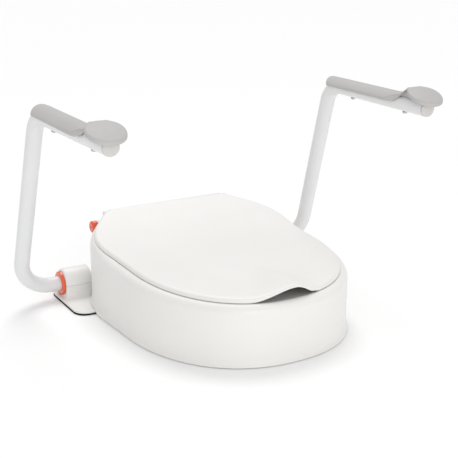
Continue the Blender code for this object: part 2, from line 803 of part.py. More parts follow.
def sweep_rings(line, radius, sides):
    """Rings across a line, each carried along from the last so that the skin doesn't twist."""
    rings = []
    across = Vector((0, 0, 1))
    for i, point in enumerate(line):
        before = line[max(i - 1, 0)]
        after = line[min(i + 1, len(line) - 1)]
        ahead = ((after - point).normalized() + (point - before).normalized()).normalized()
        across = (across - ahead * across.dot(ahead)).normalized()
        other = ahead.cross(across)
        ring = []
        for k in range(sides):
            angle = math.tau * (k + 0.5) / sides
            ring.append(tuple(point + (across * math.cos(angle) + other * math.sin(angle)) * radius))
        rings.append(ring)
    return rings


def arm_tube(side, name, look, parent):
    line = arm_line(side)
    outer = sweep_rings(line, TUBE_RADIUS, TUBE_SIDES)
    inner = sweep_rings(line, TUBE_RADIUS - TUBE_WALL, TUBE_SIDES)
    obj = place(ring_loft(outer + inner[::-1], name), name, look, parent)
    pin = (side * STOP_PIN_X, PIVOT_Y - 0.020, PIVOT_Z)
    cut(obj, rod(pin, 0.040, STOP_PIN_RADIUS + GAP, "y", 10, "pin_hole"))
    for y in PAD_SCREW_Y:
        x = side * arm_x_at(y)
        cut(obj, rod((x, y, ARM_END[2] - 0.020), 0.040, PAD_SCREW_RADIUS + GAP, "z", 10, "pad_hole"))
    return obj


def arm_x_at(y):
    share = (y - ARM_HIGH[1]) / (ARM_END[1] - ARM_HIGH[1])
    return ARM_HIGH[0] + share * (ARM_END[0] - ARM_HIGH[0])


def stop_pin(side, name, look, parent):
    """Cross pin in the inner end of the tube. It lies on the housing's shelf when the arm is down."""
    start = (side * STOP_PIN_X, PIVOT_Y - 0.0190, PIVOT_Z)
    return place(rod(start, 0.0305, STOP_PIN_RADIUS, "y", 10, name), name, look, parent)


def end_plug(side, name, look, parent):
    y = ARM_END[1] - GAP
    x = side * ARM_END[0]
    z = ARM_END[2]
    rings = []
    steps = ((0.0100, 0.0100), (0.0, 0.0102), (0.0, 0.0123), (-0.0022, 0.0123), (-0.0034, 0.0108))
    for t, radius in steps:
        ring = []
        for i in range(16):
            angle = math.tau * (i + 0.5) / 16
            ring.append((x + radius * math.cos(angle), y + t, z + radius * math.sin(angle)))
        rings.append(ring)
    return place(ring_loft(rings, name, closed=False), name, look, parent)


def pad_half_width(y):
    """Half the pad's width: round rear end, straight run, waist, round front disc."""
    rear = PAD_REAR_Y - PAD_HALF_WIDTH
    if y > rear:
        return math.sqrt(max(0.0, PAD_HALF_WIDTH ** 2 - (y - rear) ** 2))
    narrowing = smooth_step(WAIST_Y + 0.030, WAIST_Y + 0.003, y)
    plank = PAD_HALF_WIDTH + (WAIST_HALF_WIDTH - PAD_HALF_WIDTH) * narrowing
    along = (y - DISC_Y) / math.cos(DISC_TILT)
    if abs(along) >= DISC_RADIUS:
        return plank
    disc = math.sqrt(DISC_RADIUS ** 2 - along ** 2)
    return max(disc, WAIST_HALF_WIDTH) if y > DISC_Y else disc


def pad_heights(y):
    """Top, edge and underside heights of the pad at y."""
    disc_plane = DISC_Z + (y - DISC_Y) * math.tan(DISC_TILT)
    lift = smooth_step(WAIST_Y + 0.014, WAIST_Y - 0.014, y)
    flare = smooth_step(WAIST_Y + 0.024, WAIST_Y - 0.006, y)
    disc_top = min(disc_plane, 0.3700 - 0.25 * max(0.0, y - (DISC_Y + 0.026)))
    top = PAD_TOP + (disc_top - PAD_TOP) * lift
    under = PAD_SKIRT + (disc_top - DISC_THICKNESS - PAD_SKIRT) * flare
    return top, under


def pad_section(side, y):
    """One ring across the pad, with a channel for the tube while the skirt is low."""
    half = max(pad_half_width(y), 0.0012)
    top, under = pad_heights(y)
    crown = 0.0030 if y < WAIST_Y else 0.0004
    tube_x = arm_x_at(y)
    bore = TUBE_RADIUS + PAD_CHANNEL_GAP
    ring = []
    for s, drop in ((-1, 0.55), (-0.97, 0.25), (-0.86, 0.06), (-0.45, 0), (0, 0), (0.45, 0),
                    (0.86, 0.06), (0.97, 0.25), (1, 0.55)):
        z = top + crown * (1 - s * s) - (top - under) * drop
        ring.append((PAD_X + half * s, z))
    for s in (0.93, 0.80, 0.55, 0.28, 0, -0.28, -0.55, -0.80, -0.93):
        x = PAD_X + min(half * 0.93, 0.0195) * s
        away = abs(x - tube_x)
        tube_top = ARM_END[2] + math.sqrt(max(0.0, bore ** 2 - away ** 2)) if away < bore else 0
        ring.append((x, max(under, tube_top + GAP)))
    return [(side * x, y, z) for x, z in ring]


def arm_pad(side, name, look, parent):
    rear = [PAD_REAR_Y - t for t in (0.0004, 0.003, 0.008, 0.0145, 0.0215)]
    straight = [0.015, -0.035, -0.070]
    throat = [WAIST_Y + t for t in (0.022, 0.013, 0.005, -0.003, -0.012, -0.022)]
    shares = (0.80, 0.5, 0.2, -0.1, -0.4, -0.65, -0.85, -0.96, -0.999)
    disc = [DISC_Y + DISC_RADIUS * math.cos(DISC_TILT) * share for share in shares]
    rings = [pad_section(side, y) for y in rear + straight + throat + disc]
    obj = place(ring_loft(rings, name, closed=False), name, look, parent)
    y = PAD_SCREW_Y[1]
    boss_bottom = ARM_END[2] + TUBE_RADIUS + GAP
    x = side * arm_x_at(y)
    join(obj, rod((x, y, boss_bottom), 0.010, 0.0055, "z", 12, "boss"))
    for y in PAD_SCREW_Y:
        x = side * arm_x_at(y)
        reach = PAD_TOP - 0.0008 if y > 0 else boss_bottom + 0.009
        bottom = ARM_END[2]
        cut(obj, rod((x, y, bottom), reach - bottom, PAD_SCREW_RADIUS + GAP, "z", 10, "pad_bore"))
    return obj


def pad_screw(side, y, name, look, parent):
    x = side * arm_x_at(y)
    below = ARM_END[2] - TUBE_RADIUS - GAP
    tip = PAD_TOP - 0.0012 if y > 0 else ARM_END[2] + TUBE_RADIUS + 0.0085
    r = PAD_SCREW_RADIUS
    head = PAD_SCREW_HEAD
    profile = ((below - 0.0030, head - 0.0012), (below - 0.0018, head), (below, head), (below, r), (tip, r))
    rings = []
    for z, radius in profile:
        ring = []
        for i in range(8):
            angle = math.tau * i / 8
            ring.append((x + radius * math.cos(angle), y + radius * math.sin(angle), z))
        rings.append(ring)
    return place(ring_loft(rings, name, closed=False), name, look, parent)


# ---- assembly -----------------------------------------------------------------------
def build():
    clear_scene()
    white = material("white_moulding", WHITE, 0.42)
    coat = material("white_powder_coat", COOL_WHITE, 0.38)
    grey = material("grey_soft_plastic", GREY, 0.6)
    orange = material("orange_plastic", ORANGE, 0.3)
    rubber = material("black_rubber", BLACK, 0.8)
    steel = material("steel", STEEL, 0.35, 1.0)

    seat = joint_empty("seat_hinge", *SEAT_AXIS)
    lid = joint_empty("lid_hinge", *LID_AXIS)

    base_bracket(white)
    seat_shell(white, seat)
    seat_buffers(rubber, seat)
    lid_panel(white, lid)
    lid_buffers(rubber, lid)

    for hand, side in SIDES.items():
        grip_mat(side, f"{hand}_grip_mat", rubber)
        housing_cover(side, f"{hand}_housing_cover", white)
        pivot_bush(side, f"{hand}_pivot_bush", orange)
        for place_name, end in (("front", -1), ("rear", 1)):
            cover_screw(side, end, f"{hand}_cover_screw_{place_name}", steel)

        pin_guide(side, f"{hand}_pin_guide", white, seat)
        release_spring(side, f"{hand}_release_spring", steel, seat)
        lid_pin(side, f"{hand}_lid_pin", steel, seat)

        release = joint_empty(f"{hand}_release", *SEAT_AXIS)
        release_shaft(side, f"{hand}_hinge_shaft", steel, release)
        release_knob(side, f"{hand}_release_knob", orange, release)

        arm = joint_empty(f"{hand}_arm_pivot", PIVOT_Y, PIVOT_Z)
        arm_tube(side, f"{hand}_arm_tube", coat, arm)
        stop_pin(side, f"{hand}_stop_pin", steel, arm)
        end_plug(side, f"{hand}_end_plug", grey, arm)
        arm_pad(side, f"{hand}_arm_pad", grey, arm)
        for place_name, y in zip(("rear", "front"), PAD_SCREW_Y):
            pad_screw(side, y, f"{hand}_pad_screw_{place_name}", steel, arm)


build()
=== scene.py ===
# %% [markdown]
# # Raised toilet seat with a lid and two fold-back arm supports
# This lesson dresses a finished mechanical model. The model is loaded as a fixed frame of
# solid parts that already have their sizes and joints, and nothing below moves any of them.
# Each visible part is built again as a finer mesh in the same place, gets a material made
# only of nodes, and is told which moving body it belongs to.

# %% Load the frame
import math

import bmesh
import bpy
import numpy as np
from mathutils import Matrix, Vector


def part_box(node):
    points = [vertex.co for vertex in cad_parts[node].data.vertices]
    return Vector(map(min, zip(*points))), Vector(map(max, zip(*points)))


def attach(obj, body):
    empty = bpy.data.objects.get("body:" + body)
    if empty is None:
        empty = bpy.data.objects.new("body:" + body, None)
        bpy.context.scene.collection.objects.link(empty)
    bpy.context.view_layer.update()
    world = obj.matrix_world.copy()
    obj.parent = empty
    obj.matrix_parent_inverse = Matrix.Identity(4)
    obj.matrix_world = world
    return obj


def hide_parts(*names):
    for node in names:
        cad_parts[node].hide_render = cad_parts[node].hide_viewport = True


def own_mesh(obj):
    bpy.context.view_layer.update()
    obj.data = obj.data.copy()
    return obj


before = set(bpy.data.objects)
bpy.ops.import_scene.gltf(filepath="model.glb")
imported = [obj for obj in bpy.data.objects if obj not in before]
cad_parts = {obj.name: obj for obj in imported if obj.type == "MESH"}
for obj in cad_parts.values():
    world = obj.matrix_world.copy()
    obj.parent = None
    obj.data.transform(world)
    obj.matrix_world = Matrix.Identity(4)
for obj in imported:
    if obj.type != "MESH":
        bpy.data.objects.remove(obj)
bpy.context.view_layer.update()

MM = 0.001
SIDES = {"left": -1, "right": 1}


def put(name, data):
    """A new object in the scene."""
    thing = bpy.data.objects.new(name, data)
    bpy.context.scene.collection.objects.link(thing)
    return thing


def stand(name, data, place, facing):
    """Put a camera or a lamp at a place, looking along a direction."""
    thing = put(name, data)
    thing.location = place
    thing.rotation_mode = "QUATERNION"
    thing.rotation_quaternion = facing.to_track_quat("-Z", "Y")
    return thing


# %% [markdown]
# ## Camera
# The seat is seen from the front, a little from its left end and from above. A long lens
# standing well back keeps the seat's sides nearly parallel. Aiming the camera with
# to_track_quat needs only two points: where it stands and what it looks at.

# %% Camera
CAMERA_PLACE = Vector((-0.7544, -1.3310, 0.6265))
CAMERA_TARGET = Vector((0.0129, 0.0, 0.1395))
camera_data = bpy.data.cameras.new("studio_camera")
camera_data.lens = 79.08
camera_data.sensor_width = 36
camera = stand("studio_camera", camera_data, CAMERA_PLACE, CAMERA_TARGET - CAMERA_PLACE)
bpy.context.scene.camera = camera
print("camera distance in m:", round((CAMERA_TARGET - CAMERA_PLACE).length, 3))

# %% [markdown]
# ## Small mesh helpers
# Nearly every part here is a skin stretched over rings of points: a moulded shell is its
# cross-section carried round an outline, a tube is a circle carried along a line, and a
# turned part is a profile carried round an axis. One function that skins rings therefore
# serves them all, and keeps clean rows of quads that shade smoothly.

# %% Skin rings of points
def skin(name, rings, loop=False, caps=True, sharp=40.0):
    """Quads between neighbouring rings. loop joins the last ring to the first."""
    rings = np.asarray(rings, float)
    count, across = rings.shape[:2]
    pairs = [(k, k + 1) for k in range(count - 1)] + ([(count - 1, 0)] if loop else [])
    faces = []
    for a, b in pairs:
        for i in range(across):
            j = (i + 1) % across
            faces.append((a * across + i, a * across + j, b * across + j, b * across + i))
    if caps and not loop:
        faces.append(tuple(range(across)))
        faces.append(tuple((count - 1) * across + i for i in range(across)))
    mesh = bpy.data.meshes.new(name)
    mesh.from_pydata(rings.reshape(-1, 3).tolist(), [], faces)
    return tidy_mesh(mesh, sharp)


def tidy_mesh(mesh, sharp=40.0):
    """Weld stray doubles, turn every face outwards and shade it smooth up to an angle."""
    bm = bmesh.new()
    bm.from_mesh(mesh)
    bmesh.ops.remove_doubles(bm, verts=bm.verts, dist=2e-6)
    bmesh.ops.dissolve_degenerate(bm, edges=bm.edges, dist=1e-6)
    bmesh.ops.recalc_face_normals(bm, faces=bm.faces)
    if bm.calc_volume(signed=True) < 0:
        bmesh.ops.reverse_faces(bm, faces=bm.faces)
    bm.to_mesh(mesh)
    bm.free()
    mesh.shade_smooth()
    mesh.set_sharp_from_angle(angle=math.radians(sharp))
    return mesh


def smooth_step(low, high, value):
    t = np.clip((np.asarray(value, float) - low) / (high - low), 0.0, 1.0)
    return t * t * (3 - 2 * t)


def arc(centre, radius, start, end, steps):
    """Points on an arc, angles in degrees."""
    angle = np.radians(np.linspace(start, end, steps + 1))
    return np.column_stack([centre[0] + radius * np.cos(angle), centre[1] + radius * np.sin(angle)])


print("helpers ready: skin, tidy_mesh, smooth_step, arc")

# %% [markdown]
# A turned part is drawn as a profile of (along, radius) points. A prism is a flat outline
# pushed along one axis. Cuts are Booleans that are worked out at once, so that no helper
# object is left in the scene, and a Bevel then breaks the sharp edges as a mould would.

# %% Turned parts, prisms, cuts and bevels
def turned(name, profile, centre, sides=64, turn=math.tau, sharp=40.0):
    """Turn a closed (x, radius) profile round an axis through centre that runs along X."""
    whole = turn >= math.tau - 1e-6
    angles = np.linspace(0, turn, sides, endpoint=not whole)
    profile = np.asarray(profile, float)
    rings = []
    for angle in angles:
        x = centre[0] + profile[:, 0]
        y = centre[1] + profile[:, 1] * math.cos(angle)
        z = centre[2] + profile[:, 1] * math.sin(angle)
        rings.append(np.column_stack([x, y, z]))
    return skin(name, rings, loop=whole, sharp=sharp)


def prism(name, points, start, end, axis):
    """Push a flat outline along X (points are y, z) or Z (points are x, y)."""
    points = np.asarray(points, float)
    rings = []
    for t in (start, end):
        level = np.full(len(points), t)
        columns = [points[:, 0], points[:, 1]]
        columns.insert(0 if axis == "x" else 2, level)
        rings.append(np.column_stack(columns))
    return skin(name, rings)


def stacked(name, profile, centre, axis, sides=48, sharp=40.0):
    """Circles of (along, radius) stacked on a line through centre. A radius may be a list."""
    along = "xyz".index(axis)
    angle = np.linspace(0, math.tau, sides, endpoint=False)
    rings = []
    for reach, radius in profile:
        ring = np.tile(np.asarray(centre, float), (sides, 1))
        ring[:, along] += reach
        ring[:, (along + 1) % 3] += radius * np.cos(angle)
        ring[:, (along + 2) % 3] += radius * np.sin(angle)
        rings.append(ring)
    return skin(name, rings, sharp=sharp)


def rod(name, start, length, radius, sides=32):
    """A cylinder along X, mostly used as a cutting tool."""
    return stacked(name, [(0.0, radius), (length, radius)], start, "x", sides)


def block(name, low, high):
    """A box-shaped cutting tool."""
    (a, b, c), (d, e, f) = low, high
    return prism(name, [(a, b), (d, b), (d, e), (a, e)], c, f, "z")


def with_modifiers(mesh, steps):
    """Run a list of (type, settings) modifiers on a mesh and return the result."""
    holder = put("holder", mesh)
    tools = []
    for kind, settings in steps:
        modifier = holder.modifiers.new(kind.lower(), kind)
        for key, value in settings.items():
            if key == "tool":
                tools.append(put("tool", value))
                modifier.object = tools[-1]
            else:
                setattr(modifier, key, value)
    graph = bpy.context.evaluated_depsgraph_get()
    result = bpy.data.meshes.new_from_object(holder.evaluated_get(graph))
    for extra in [holder, *tools]:
        bpy.data.objects.remove(extra, do_unlink=True)
    return result


def cut(mesh, *tools, solver="EXACT"):
    """Take solids away from a mesh, one after the other."""
    for tool in tools:
        settings = {"operation": "DIFFERENCE", "solver": solver, "tool": tool}
        mesh = with_modifiers(mesh, [("BOOLEAN", settings)])
    return mesh


def joined(mesh, tool):
    settings = {"operation": "UNION", "solver": "EXACT", "tool": tool}
    return with_modifiers(mesh, [("BOOLEAN", settings)])


def bevelled(mesh, width, angle=35.0, segments=3, sharp=40.0):
    settings = {
        "width": width, "segments": segments, "limit_method": "ANGLE",
        "angle_limit": math.radians(angle), "use_clamp_overlap": True,
    }
    return tidy_mesh(with_modifiers(mesh, [("BEVEL", settings)]), sharp)


def mirrored(points, side):
    """Copy an (N, 3) or (N, 2) list of points to the left or right hand."""
    points = np.array(points, float)
    points[..., 0] *= side
    return points


def add_piece(mesh, name, body, finish_kind, stands_for=()):
    """Put a finished mesh in the scene, on its body, in place of the frame's own node."""
    slot, look = finish_kind
    mesh.materials.clear()
    mesh.materials.append(look)
    piece = put(name, mesh)
    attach(piece, body)
    if stands_for:
        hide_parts(*stands_for)
    print(f"{name}: {len(mesh.polygons)} faces on {body}")
    return piece


print("helpers ready: turned, prism, stacked, rod, block, cut, joined, bevelled, add_piece")

# %% [markdown]
# ## Shared surface effects
# All the finishes need the same small things: a fine grain, faint colour mottling, rubbed
# edges, hand marks and dust on what faces up. Each is a node group built once. A
# group gives out only heights and masks, and each material decides what to do with them.

# %% Node group builder
def effect(name, inputs, outputs):
    """An empty shader group, its inputs, a place on the object and a way to give results."""
    group = bpy.data.node_groups.new(name, "ShaderNodeTree")
    for label, value in inputs.items():
        socket = group.interface.new_socket(label, in_out="INPUT", socket_type="NodeSocketFloat")
        socket.default_value = value
    for label in outputs:
        group.interface.new_socket(label, in_out="OUTPUT", socket_type="NodeSocketFloat")
    given, result = group.nodes.new("NodeGroupInput"), group.nodes.new("NodeGroupOutput")
    place = group.nodes.new("ShaderNodeTexCoord").outputs["Object"]

    def give(label, value):
        group.links.new(value, result.inputs[label])
        print(f"group {name} gives {label}")

    return group, given.outputs, place, give


def math_node(tree, operation, first, second=None, clamp=False):
    node = tree.nodes.new("ShaderNodeMath")
    node.operation = operation
    node.use_clamp = clamp
    for slot_index, value in enumerate((first, second)):
        if value is None:
            continue
        if isinstance(value, (int, float)):
            node.inputs[slot_index].default_value = value
        else:
            tree.links.new(value, node.inputs[slot_index])
    return node.outputs[0]


def noise_node(tree, vector, scale, detail=3.0, roughness=0.5):
    node = tree.nodes.new("ShaderNodeTexNoise")
    node.inputs["Detail"].default_value = detail
    node.inputs["Roughness"].default_value = roughness
    if isinstance(scale, (int, float)):
        node.inputs["Scale"].default_value = scale
    else:
        tree.links.new(scale, node.inputs["Scale"])
    tree.links.new(vector, node.inputs["Vector"])
    return node.outputs["Fac"]


def map_range(tree, value, low, high, to_low=0.0, to_high=1.0):
    node = tree.nodes.new("ShaderNodeMapRange")
    node.clamp = True
    tree.links.new(value, node.inputs["Value"])
    for label, number in (("From Min", low), ("From Max", high), ("To Min", to_low), ("To Max", to_high)):
        node.inputs[label].default_value = number
    return node.outputs["Result"]


print("node helpers ready")

# %% [markdown]
# The grain is what spark erosion leaves in a mould: tiny even pits. Mottle is the slow
# drift in shade of a large moulding. Both are noise in the object's own coordinates, so
# they stay put when a part moves.

# %% Fine grain
fine_grain, given, place, give = effect(
    "fine_grain", {"Grain Scale": 1400.0, "Mottle Scale": 9.0}, ["Height", "Mottle"])
drift = noise_node(fine_grain, place, given["Mottle Scale"], 4.0, 0.55)
give("Height", noise_node(fine_grain, place, given["Grain Scale"], 2.0, 0.6))
give("Mottle", map_range(fine_grain, drift, 0.3, 0.7))

# %% [markdown]
# Edges are where hands and cloths rub. Pointiness is high on outer edges of a fine mesh;
# broken up with noise it gives a rubbed line that is not the same all the way along.

# %% Rubbed edges
rubbed_edges, given, place, give = effect("rubbed_edges", {"Start": 0.53, "Breakup": 0.5}, ["Mask"])
point = rubbed_edges.nodes.new("ShaderNodeNewGeometry").outputs["Pointiness"]
patches = noise_node(rubbed_edges, place, 160.0, 3.0)
patches = math_node(rubbed_edges, "MULTIPLY", patches, given["Breakup"])
above = math_node(rubbed_edges, "SUBTRACT", point, given["Start"])
edge = math_node(rubbed_edges, "MULTIPLY", above, 9.0, clamp=True)
give("Mask", math_node(rubbed_edges, "SUBTRACT", edge, patches, clamp=True))

# %% [markdown]
# Hand marks are two things: broad greasy smudges that change only the gloss, and hairline
# scuffs, which are stretched noise cut off near its peak.

# %% Hand marks
hand_marks, given, place, give = effect(
    "hand_marks", {"Smudge Scale": 14.0, "Scuff Scale": 60.0}, ["Smudge", "Scuff"])
smudge = noise_node(hand_marks, place, given["Smudge Scale"], 5.0, 0.6)
stretch = hand_marks.nodes.new("ShaderNodeMapping")
stretch.inputs["Rotation"].default_value = (0.4, 0.2, 0.9)
stretch.inputs["Scale"].default_value = (0.35, 7.0, 7.0)
hand_marks.links.new(place, stretch.inputs["Vector"])
scuff = noise_node(hand_marks, stretch.outputs["Vector"], given["Scuff Scale"], 2.0)
give("Smudge", map_range(hand_marks, smudge, 0.35, 0.72))
give("Scuff", map_range(hand_marks, scuff, 0.70, 0.78))

# %% [markdown]
# Dust lies on what faces up. The object's own normal is used, so that a lid keeps its dust
# on its top face when it is opened, as a real one would until it is wiped.

# %% Settled dust
settled_dust, given, place, give = effect("settled_dust", {"Patch Scale": 30.0}, ["Mask"])
normal = settled_dust.nodes.new("ShaderNodeTexCoord").outputs["Normal"]
split = settled_dust.nodes.new("ShaderNodeSeparateXYZ")
settled_dust.links.new(normal, split.inputs["Vector"])
facing_up = map_range(settled_dust, split.outputs["Z"], 0.55, 1.0)
patches = noise_node(settled_dust, place, given["Patch Scale"], 6.0, 0.65)
patches = map_range(settled_dust, patches, 0.40, 0.75)
give("Mask", math_node(settled_dust, "MULTIPLY", facing_up, patches))

# %% [markdown]
# ## Finishes
# Every finish is one Principled shader. The recipe is shared: a base colour that drifts a
# little, dust and rubbed edges mixed over it, roughness that follows the smudges, and a
# bump from the grain. What differs is the numbers, as it does between real plastics.

# %% Finish recipe
BUMP_STRENGTH = 0.35
SCUFF_DULLING = 0.08
DUST_DULLING = 0.8


def finish(name, colour, shade, dust_colour, rub_colour, roughness, grain, bump,
           dust=0.05, rub=0.15, metallic=0.0, coat=0.0, coat_roughness=0.1, mottle_scale=9.0):
    """One material. grain is the pit scale, bump the pit depth in mm, shade the drifted colour."""
    look = bpy.data.materials.new(name)
    look.use_nodes = True
    tree = look.node_tree
    shader = tree.nodes["Principled BSDF"]

    def use(group, **values):
        node = tree.nodes.new("ShaderNodeGroup")
        node.node_tree = group
        for label, value in values.items():
            node.inputs[label.replace("_", " ")].default_value = value
        return node.outputs

    def mix(share, under, over):
        node = tree.nodes.new("ShaderNodeMix")
        node.data_type = "RGBA"
        tree.links.new(share, node.inputs["Factor"])
        for socket, value in ((node.inputs[6], under), (node.inputs[7], over)):
            if isinstance(value, tuple):
                socket.default_value = (*value, 1.0)
            else:
                tree.links.new(value, socket)
        return node.outputs[2]

    surface = use(fine_grain, Grain_Scale=grain, Mottle_Scale=mottle_scale)
    marks = use(hand_marks)
    dust_mask = math_node(tree, "MULTIPLY", use(settled_dust)["Mask"], dust)
    rub_mask = math_node(tree, "MULTIPLY", use(rubbed_edges)["Mask"], rub)
    tone = mix(surface["Mottle"], colour, shade)
    tone = mix(dust_mask, tone, dust_colour)
    tone = mix(rub_mask, tone, rub_colour)
    tree.links.new(tone, shader.inputs["Base Color"])

    low, high = roughness
    gloss = map_range(tree, marks["Smudge"], 0.0, 1.0, low, high)
    scuffed = math_node(tree, "MULTIPLY", marks["Scuff"], SCUFF_DULLING)
    gloss = math_node(tree, "ADD", gloss, scuffed)
    dulled = math_node(tree, "MULTIPLY", dust_mask, DUST_DULLING)
    gloss = math_node(tree, "ADD", gloss, dulled, clamp=True)
    tree.links.new(gloss, shader.inputs["Roughness"])

    relief = tree.nodes.new("ShaderNodeBump")
    relief.inputs["Strength"].default_value = BUMP_STRENGTH
    relief.inputs["Distance"].default_value = bump * MM
    tree.links.new(surface["Height"], relief.inputs["Height"])
    tree.links.new(relief.outputs["Normal"], shader.inputs["Normal"])
    shader.inputs["Metallic"].default_value = metallic
    shader.inputs["Coat Weight"].default_value = coat
    shader.inputs["Coat Roughness"].default_value = coat_roughness
    print(f"finish {name}: roughness {low} to {high}")
    return look


# %% [markdown]
# The body, lid, bracket and pivot covers are one warm-white moulding with a satin skin.
# The tubes are powder coated, a little cooler and with the soft orange-peel of baked
# powder. The armrests are a softer light grey and their end plugs a browner grey.

# %% White, grey, orange, black and steel
white_moulding = finish(
    "warm_white_moulding", (0.800, 0.788, 0.768), (0.785, 0.772, 0.750), (0.70, 0.67, 0.62),
    (0.84, 0.835, 0.825), roughness=(0.34, 0.44), grain=1500.0, bump=0.05, dust=0.06, rub=0.3)
powder_coat = finish(
    "white_powder_coat", (0.735, 0.738, 0.742), (0.715, 0.718, 0.722), (0.66, 0.64, 0.60),
    (0.80, 0.80, 0.80), roughness=(0.30, 0.40), grain=520.0, bump=0.12, dust=0.08, rub=0.2,
    coat=0.15, coat_roughness=0.25, mottle_scale=14.0)
grey_armrest = finish(
    "light_grey_armrest", (0.475, 0.466, 0.454), (0.455, 0.446, 0.435), (0.58, 0.56, 0.53),
    (0.56, 0.55, 0.54), roughness=(0.50, 0.62), grain=1100.0, bump=0.08, dust=0.10, rub=0.25)
plug_grey = finish(
    "brown_grey_plug", (0.600, 0.575, 0.555), (0.570, 0.545, 0.525), (0.55, 0.53, 0.50),
    (0.56, 0.53, 0.51), roughness=(0.45, 0.55), grain=1100.0, bump=0.06, dust=0.05, rub=0.2)
orange_plastic = finish(
    "orange_plastic", (0.800, 0.098, 0.022), (0.760, 0.088, 0.020), (0.70, 0.35, 0.25),
    (0.86, 0.20, 0.08), roughness=(0.18, 0.28), grain=900.0, bump=0.03, dust=0.05, rub=0.35,
    coat=0.35, coat_roughness=0.08, mottle_scale=40.0)
black_rubber = finish(
    "black_rubber", (0.008, 0.008, 0.009), (0.012, 0.012, 0.013), (0.05, 0.05, 0.05),
    (0.02, 0.02, 0.02), roughness=(0.62, 0.80), grain=800.0, bump=0.15, dust=0.02, rub=0.3)
black_rubber.node_tree.nodes["Principled BSDF"].inputs["Specular IOR Level"].default_value = 0.2
zinc_steel = finish(
    "zinc_steel", (0.560, 0.565, 0.580), (0.470, 0.480, 0.500), (0.40, 0.38, 0.35),
    (0.72, 0.72, 0.73), roughness=(0.26, 0.42), grain=700.0, bump=0.05, dust=0.10, rub=0.5,
    metallic=1.0, mottle_scale=70.0)

# %% Slots of the finishes
WHITE = ("white_moulding", white_moulding)
POWDER = ("white_powder_coat", powder_coat)
GREY = ("grey_armrest", grey_armrest)
PLUG = ("grey_armrest", plug_grey)
ORANGE = ("orange_plastic", orange_plastic)
RUBBER = ("black_rubber", black_rubber)
STEEL = ("steel", zinc_steel)
print("slots:", sorted({slot for slot, _ in (WHITE, POWDER, GREY, PLUG, ORANGE, RUBBER, STEEL)}))

# %% [markdown]
# ## Plan outline of the seat
# Seen from above the body is an egg with a cut-off rear: a superelliptic nose, sides that
# widen a little, a slanting rear quarter and a straight back. Corner cutting rounds the
# rear half from five points. The curve is resampled into stations, closer together at the
# nose where the lid has its finger wave.

# %% Plan outline
FRONT_HALF_WIDTH = 0.1776
FRONT_REACH = 0.2197
FRONT_POWER = 2.25
SIDE_KNEE = np.array((0.1850, 0.1256))
REAR_CORNER = np.array((0.1190, 0.2108))
REAR_CORNER_CUT = 0.012
NOSE_Y = -0.155
FINE_POINTS = 1400
PLAN_BLUR, OUTWARD_BLUR = 2, 13


def cut_corners(points, times):
    for _ in range(times):
        a, b = points[:-1], points[1:]
        inner = np.stack([a + 0.25 * (b - a), a + 0.75 * (b - a)], axis=1).reshape(-1, 2)
        points = np.vstack([points[:1], inner, points[-1:]])
    return points


def plan_loop():
    angle = np.linspace(0, math.pi / 2, 241)
    power = 2 / FRONT_POWER
    nose_x = FRONT_HALF_WIDTH * np.sin(angle) ** power
    nose_y = -FRONT_REACH * np.clip(np.cos(angle), 0, 1) ** power
    towards = (SIDE_KNEE - REAR_CORNER) / np.linalg.norm(SIDE_KNEE - REAR_CORNER)
    rear = np.array([
        (FRONT_HALF_WIDTH, 0), SIDE_KNEE, REAR_CORNER + towards * REAR_CORNER_CUT,
        REAR_CORNER - (REAR_CORNER_CUT, 0), (0, REAR_CORNER[1])])
    half = np.vstack([np.column_stack([nose_x, nose_y])[:-1], cut_corners(rear, 6)])
    return np.vstack([half, half[-2:0:-1] * (-1, 1)])


def blur_loop(values, steps):
    """Average round a closed list with a wide soft window."""
    reach = 3 * steps
    weight = np.exp(-0.5 * (np.arange(-reach, reach + 1) / steps) ** 2)
    weight /= weight.sum()
    return sum(w * np.roll(values, k, axis=0) for k, w in zip(range(-reach, reach + 1), weight))


def stations(count, nose_weight):
    """Points round the plan and the directions that point outwards from them."""
    loop = plan_loop()
    closed = np.vstack([loop, loop[:1]])
    lengths = np.linalg.norm(np.diff(closed, axis=0), axis=1)
    reach = np.concatenate([[0], np.cumsum(lengths)])
    even = np.linspace(0, reach[-1], FINE_POINTS, endpoint=False)
    fine = np.column_stack([np.interp(even, reach, closed[:, k]) for k in (0, 1)])
    fine = blur_loop(fine, PLAN_BLUR)
    along = np.roll(fine, -1, axis=0) - np.roll(fine, 1, axis=0)
    out = np.column_stack([along[:, 1], -along[:, 0]])
    out = blur_loop(out / np.linalg.norm(out, axis=1)[:, None], OUTWARD_BLUR)
    out /= np.linalg.norm(out, axis=1)[:, None]
    step = 1 + (nose_weight - 1) * (1 - smooth_step(NOSE_Y - 0.02, NOSE_Y + 0.02, fine[:, 1]))
    travel = np.concatenate([[0], np.cumsum(step)])
    targets = np.linspace(0, travel[-1], count, endpoint=False)
    where = np.interp(targets, travel, np.arange(len(travel)))
    points, outward = [], []
    for table, store in ((fine, points), (out, outward)):
        looped = np.vstack([table, table[:1]])
        for k in (0, 1):
            store.append(np.interp(where, np.arange(len(looped)), looped[:, k]))
    return np.array(points).T, np.array(outward).T


PLAN, OUTWARD = stations(300, 1.8)
print("plan in mm:", np.round(np.ptp(PLAN, axis=0) / MM, 1), "stations:", len(PLAN))

# %% [markdown]
# ## Seat body
# The body is one thin moulding: a lip that stands on the bowl's rim, an upright wall, a
# round shoulder, a dished seating surface and a collar round the opening. All of it is one
# closed section carried round the plan, so wall thickness and fillets are even everywhere.
# The rim under the lid rises towards the rear, which the deck height follows.

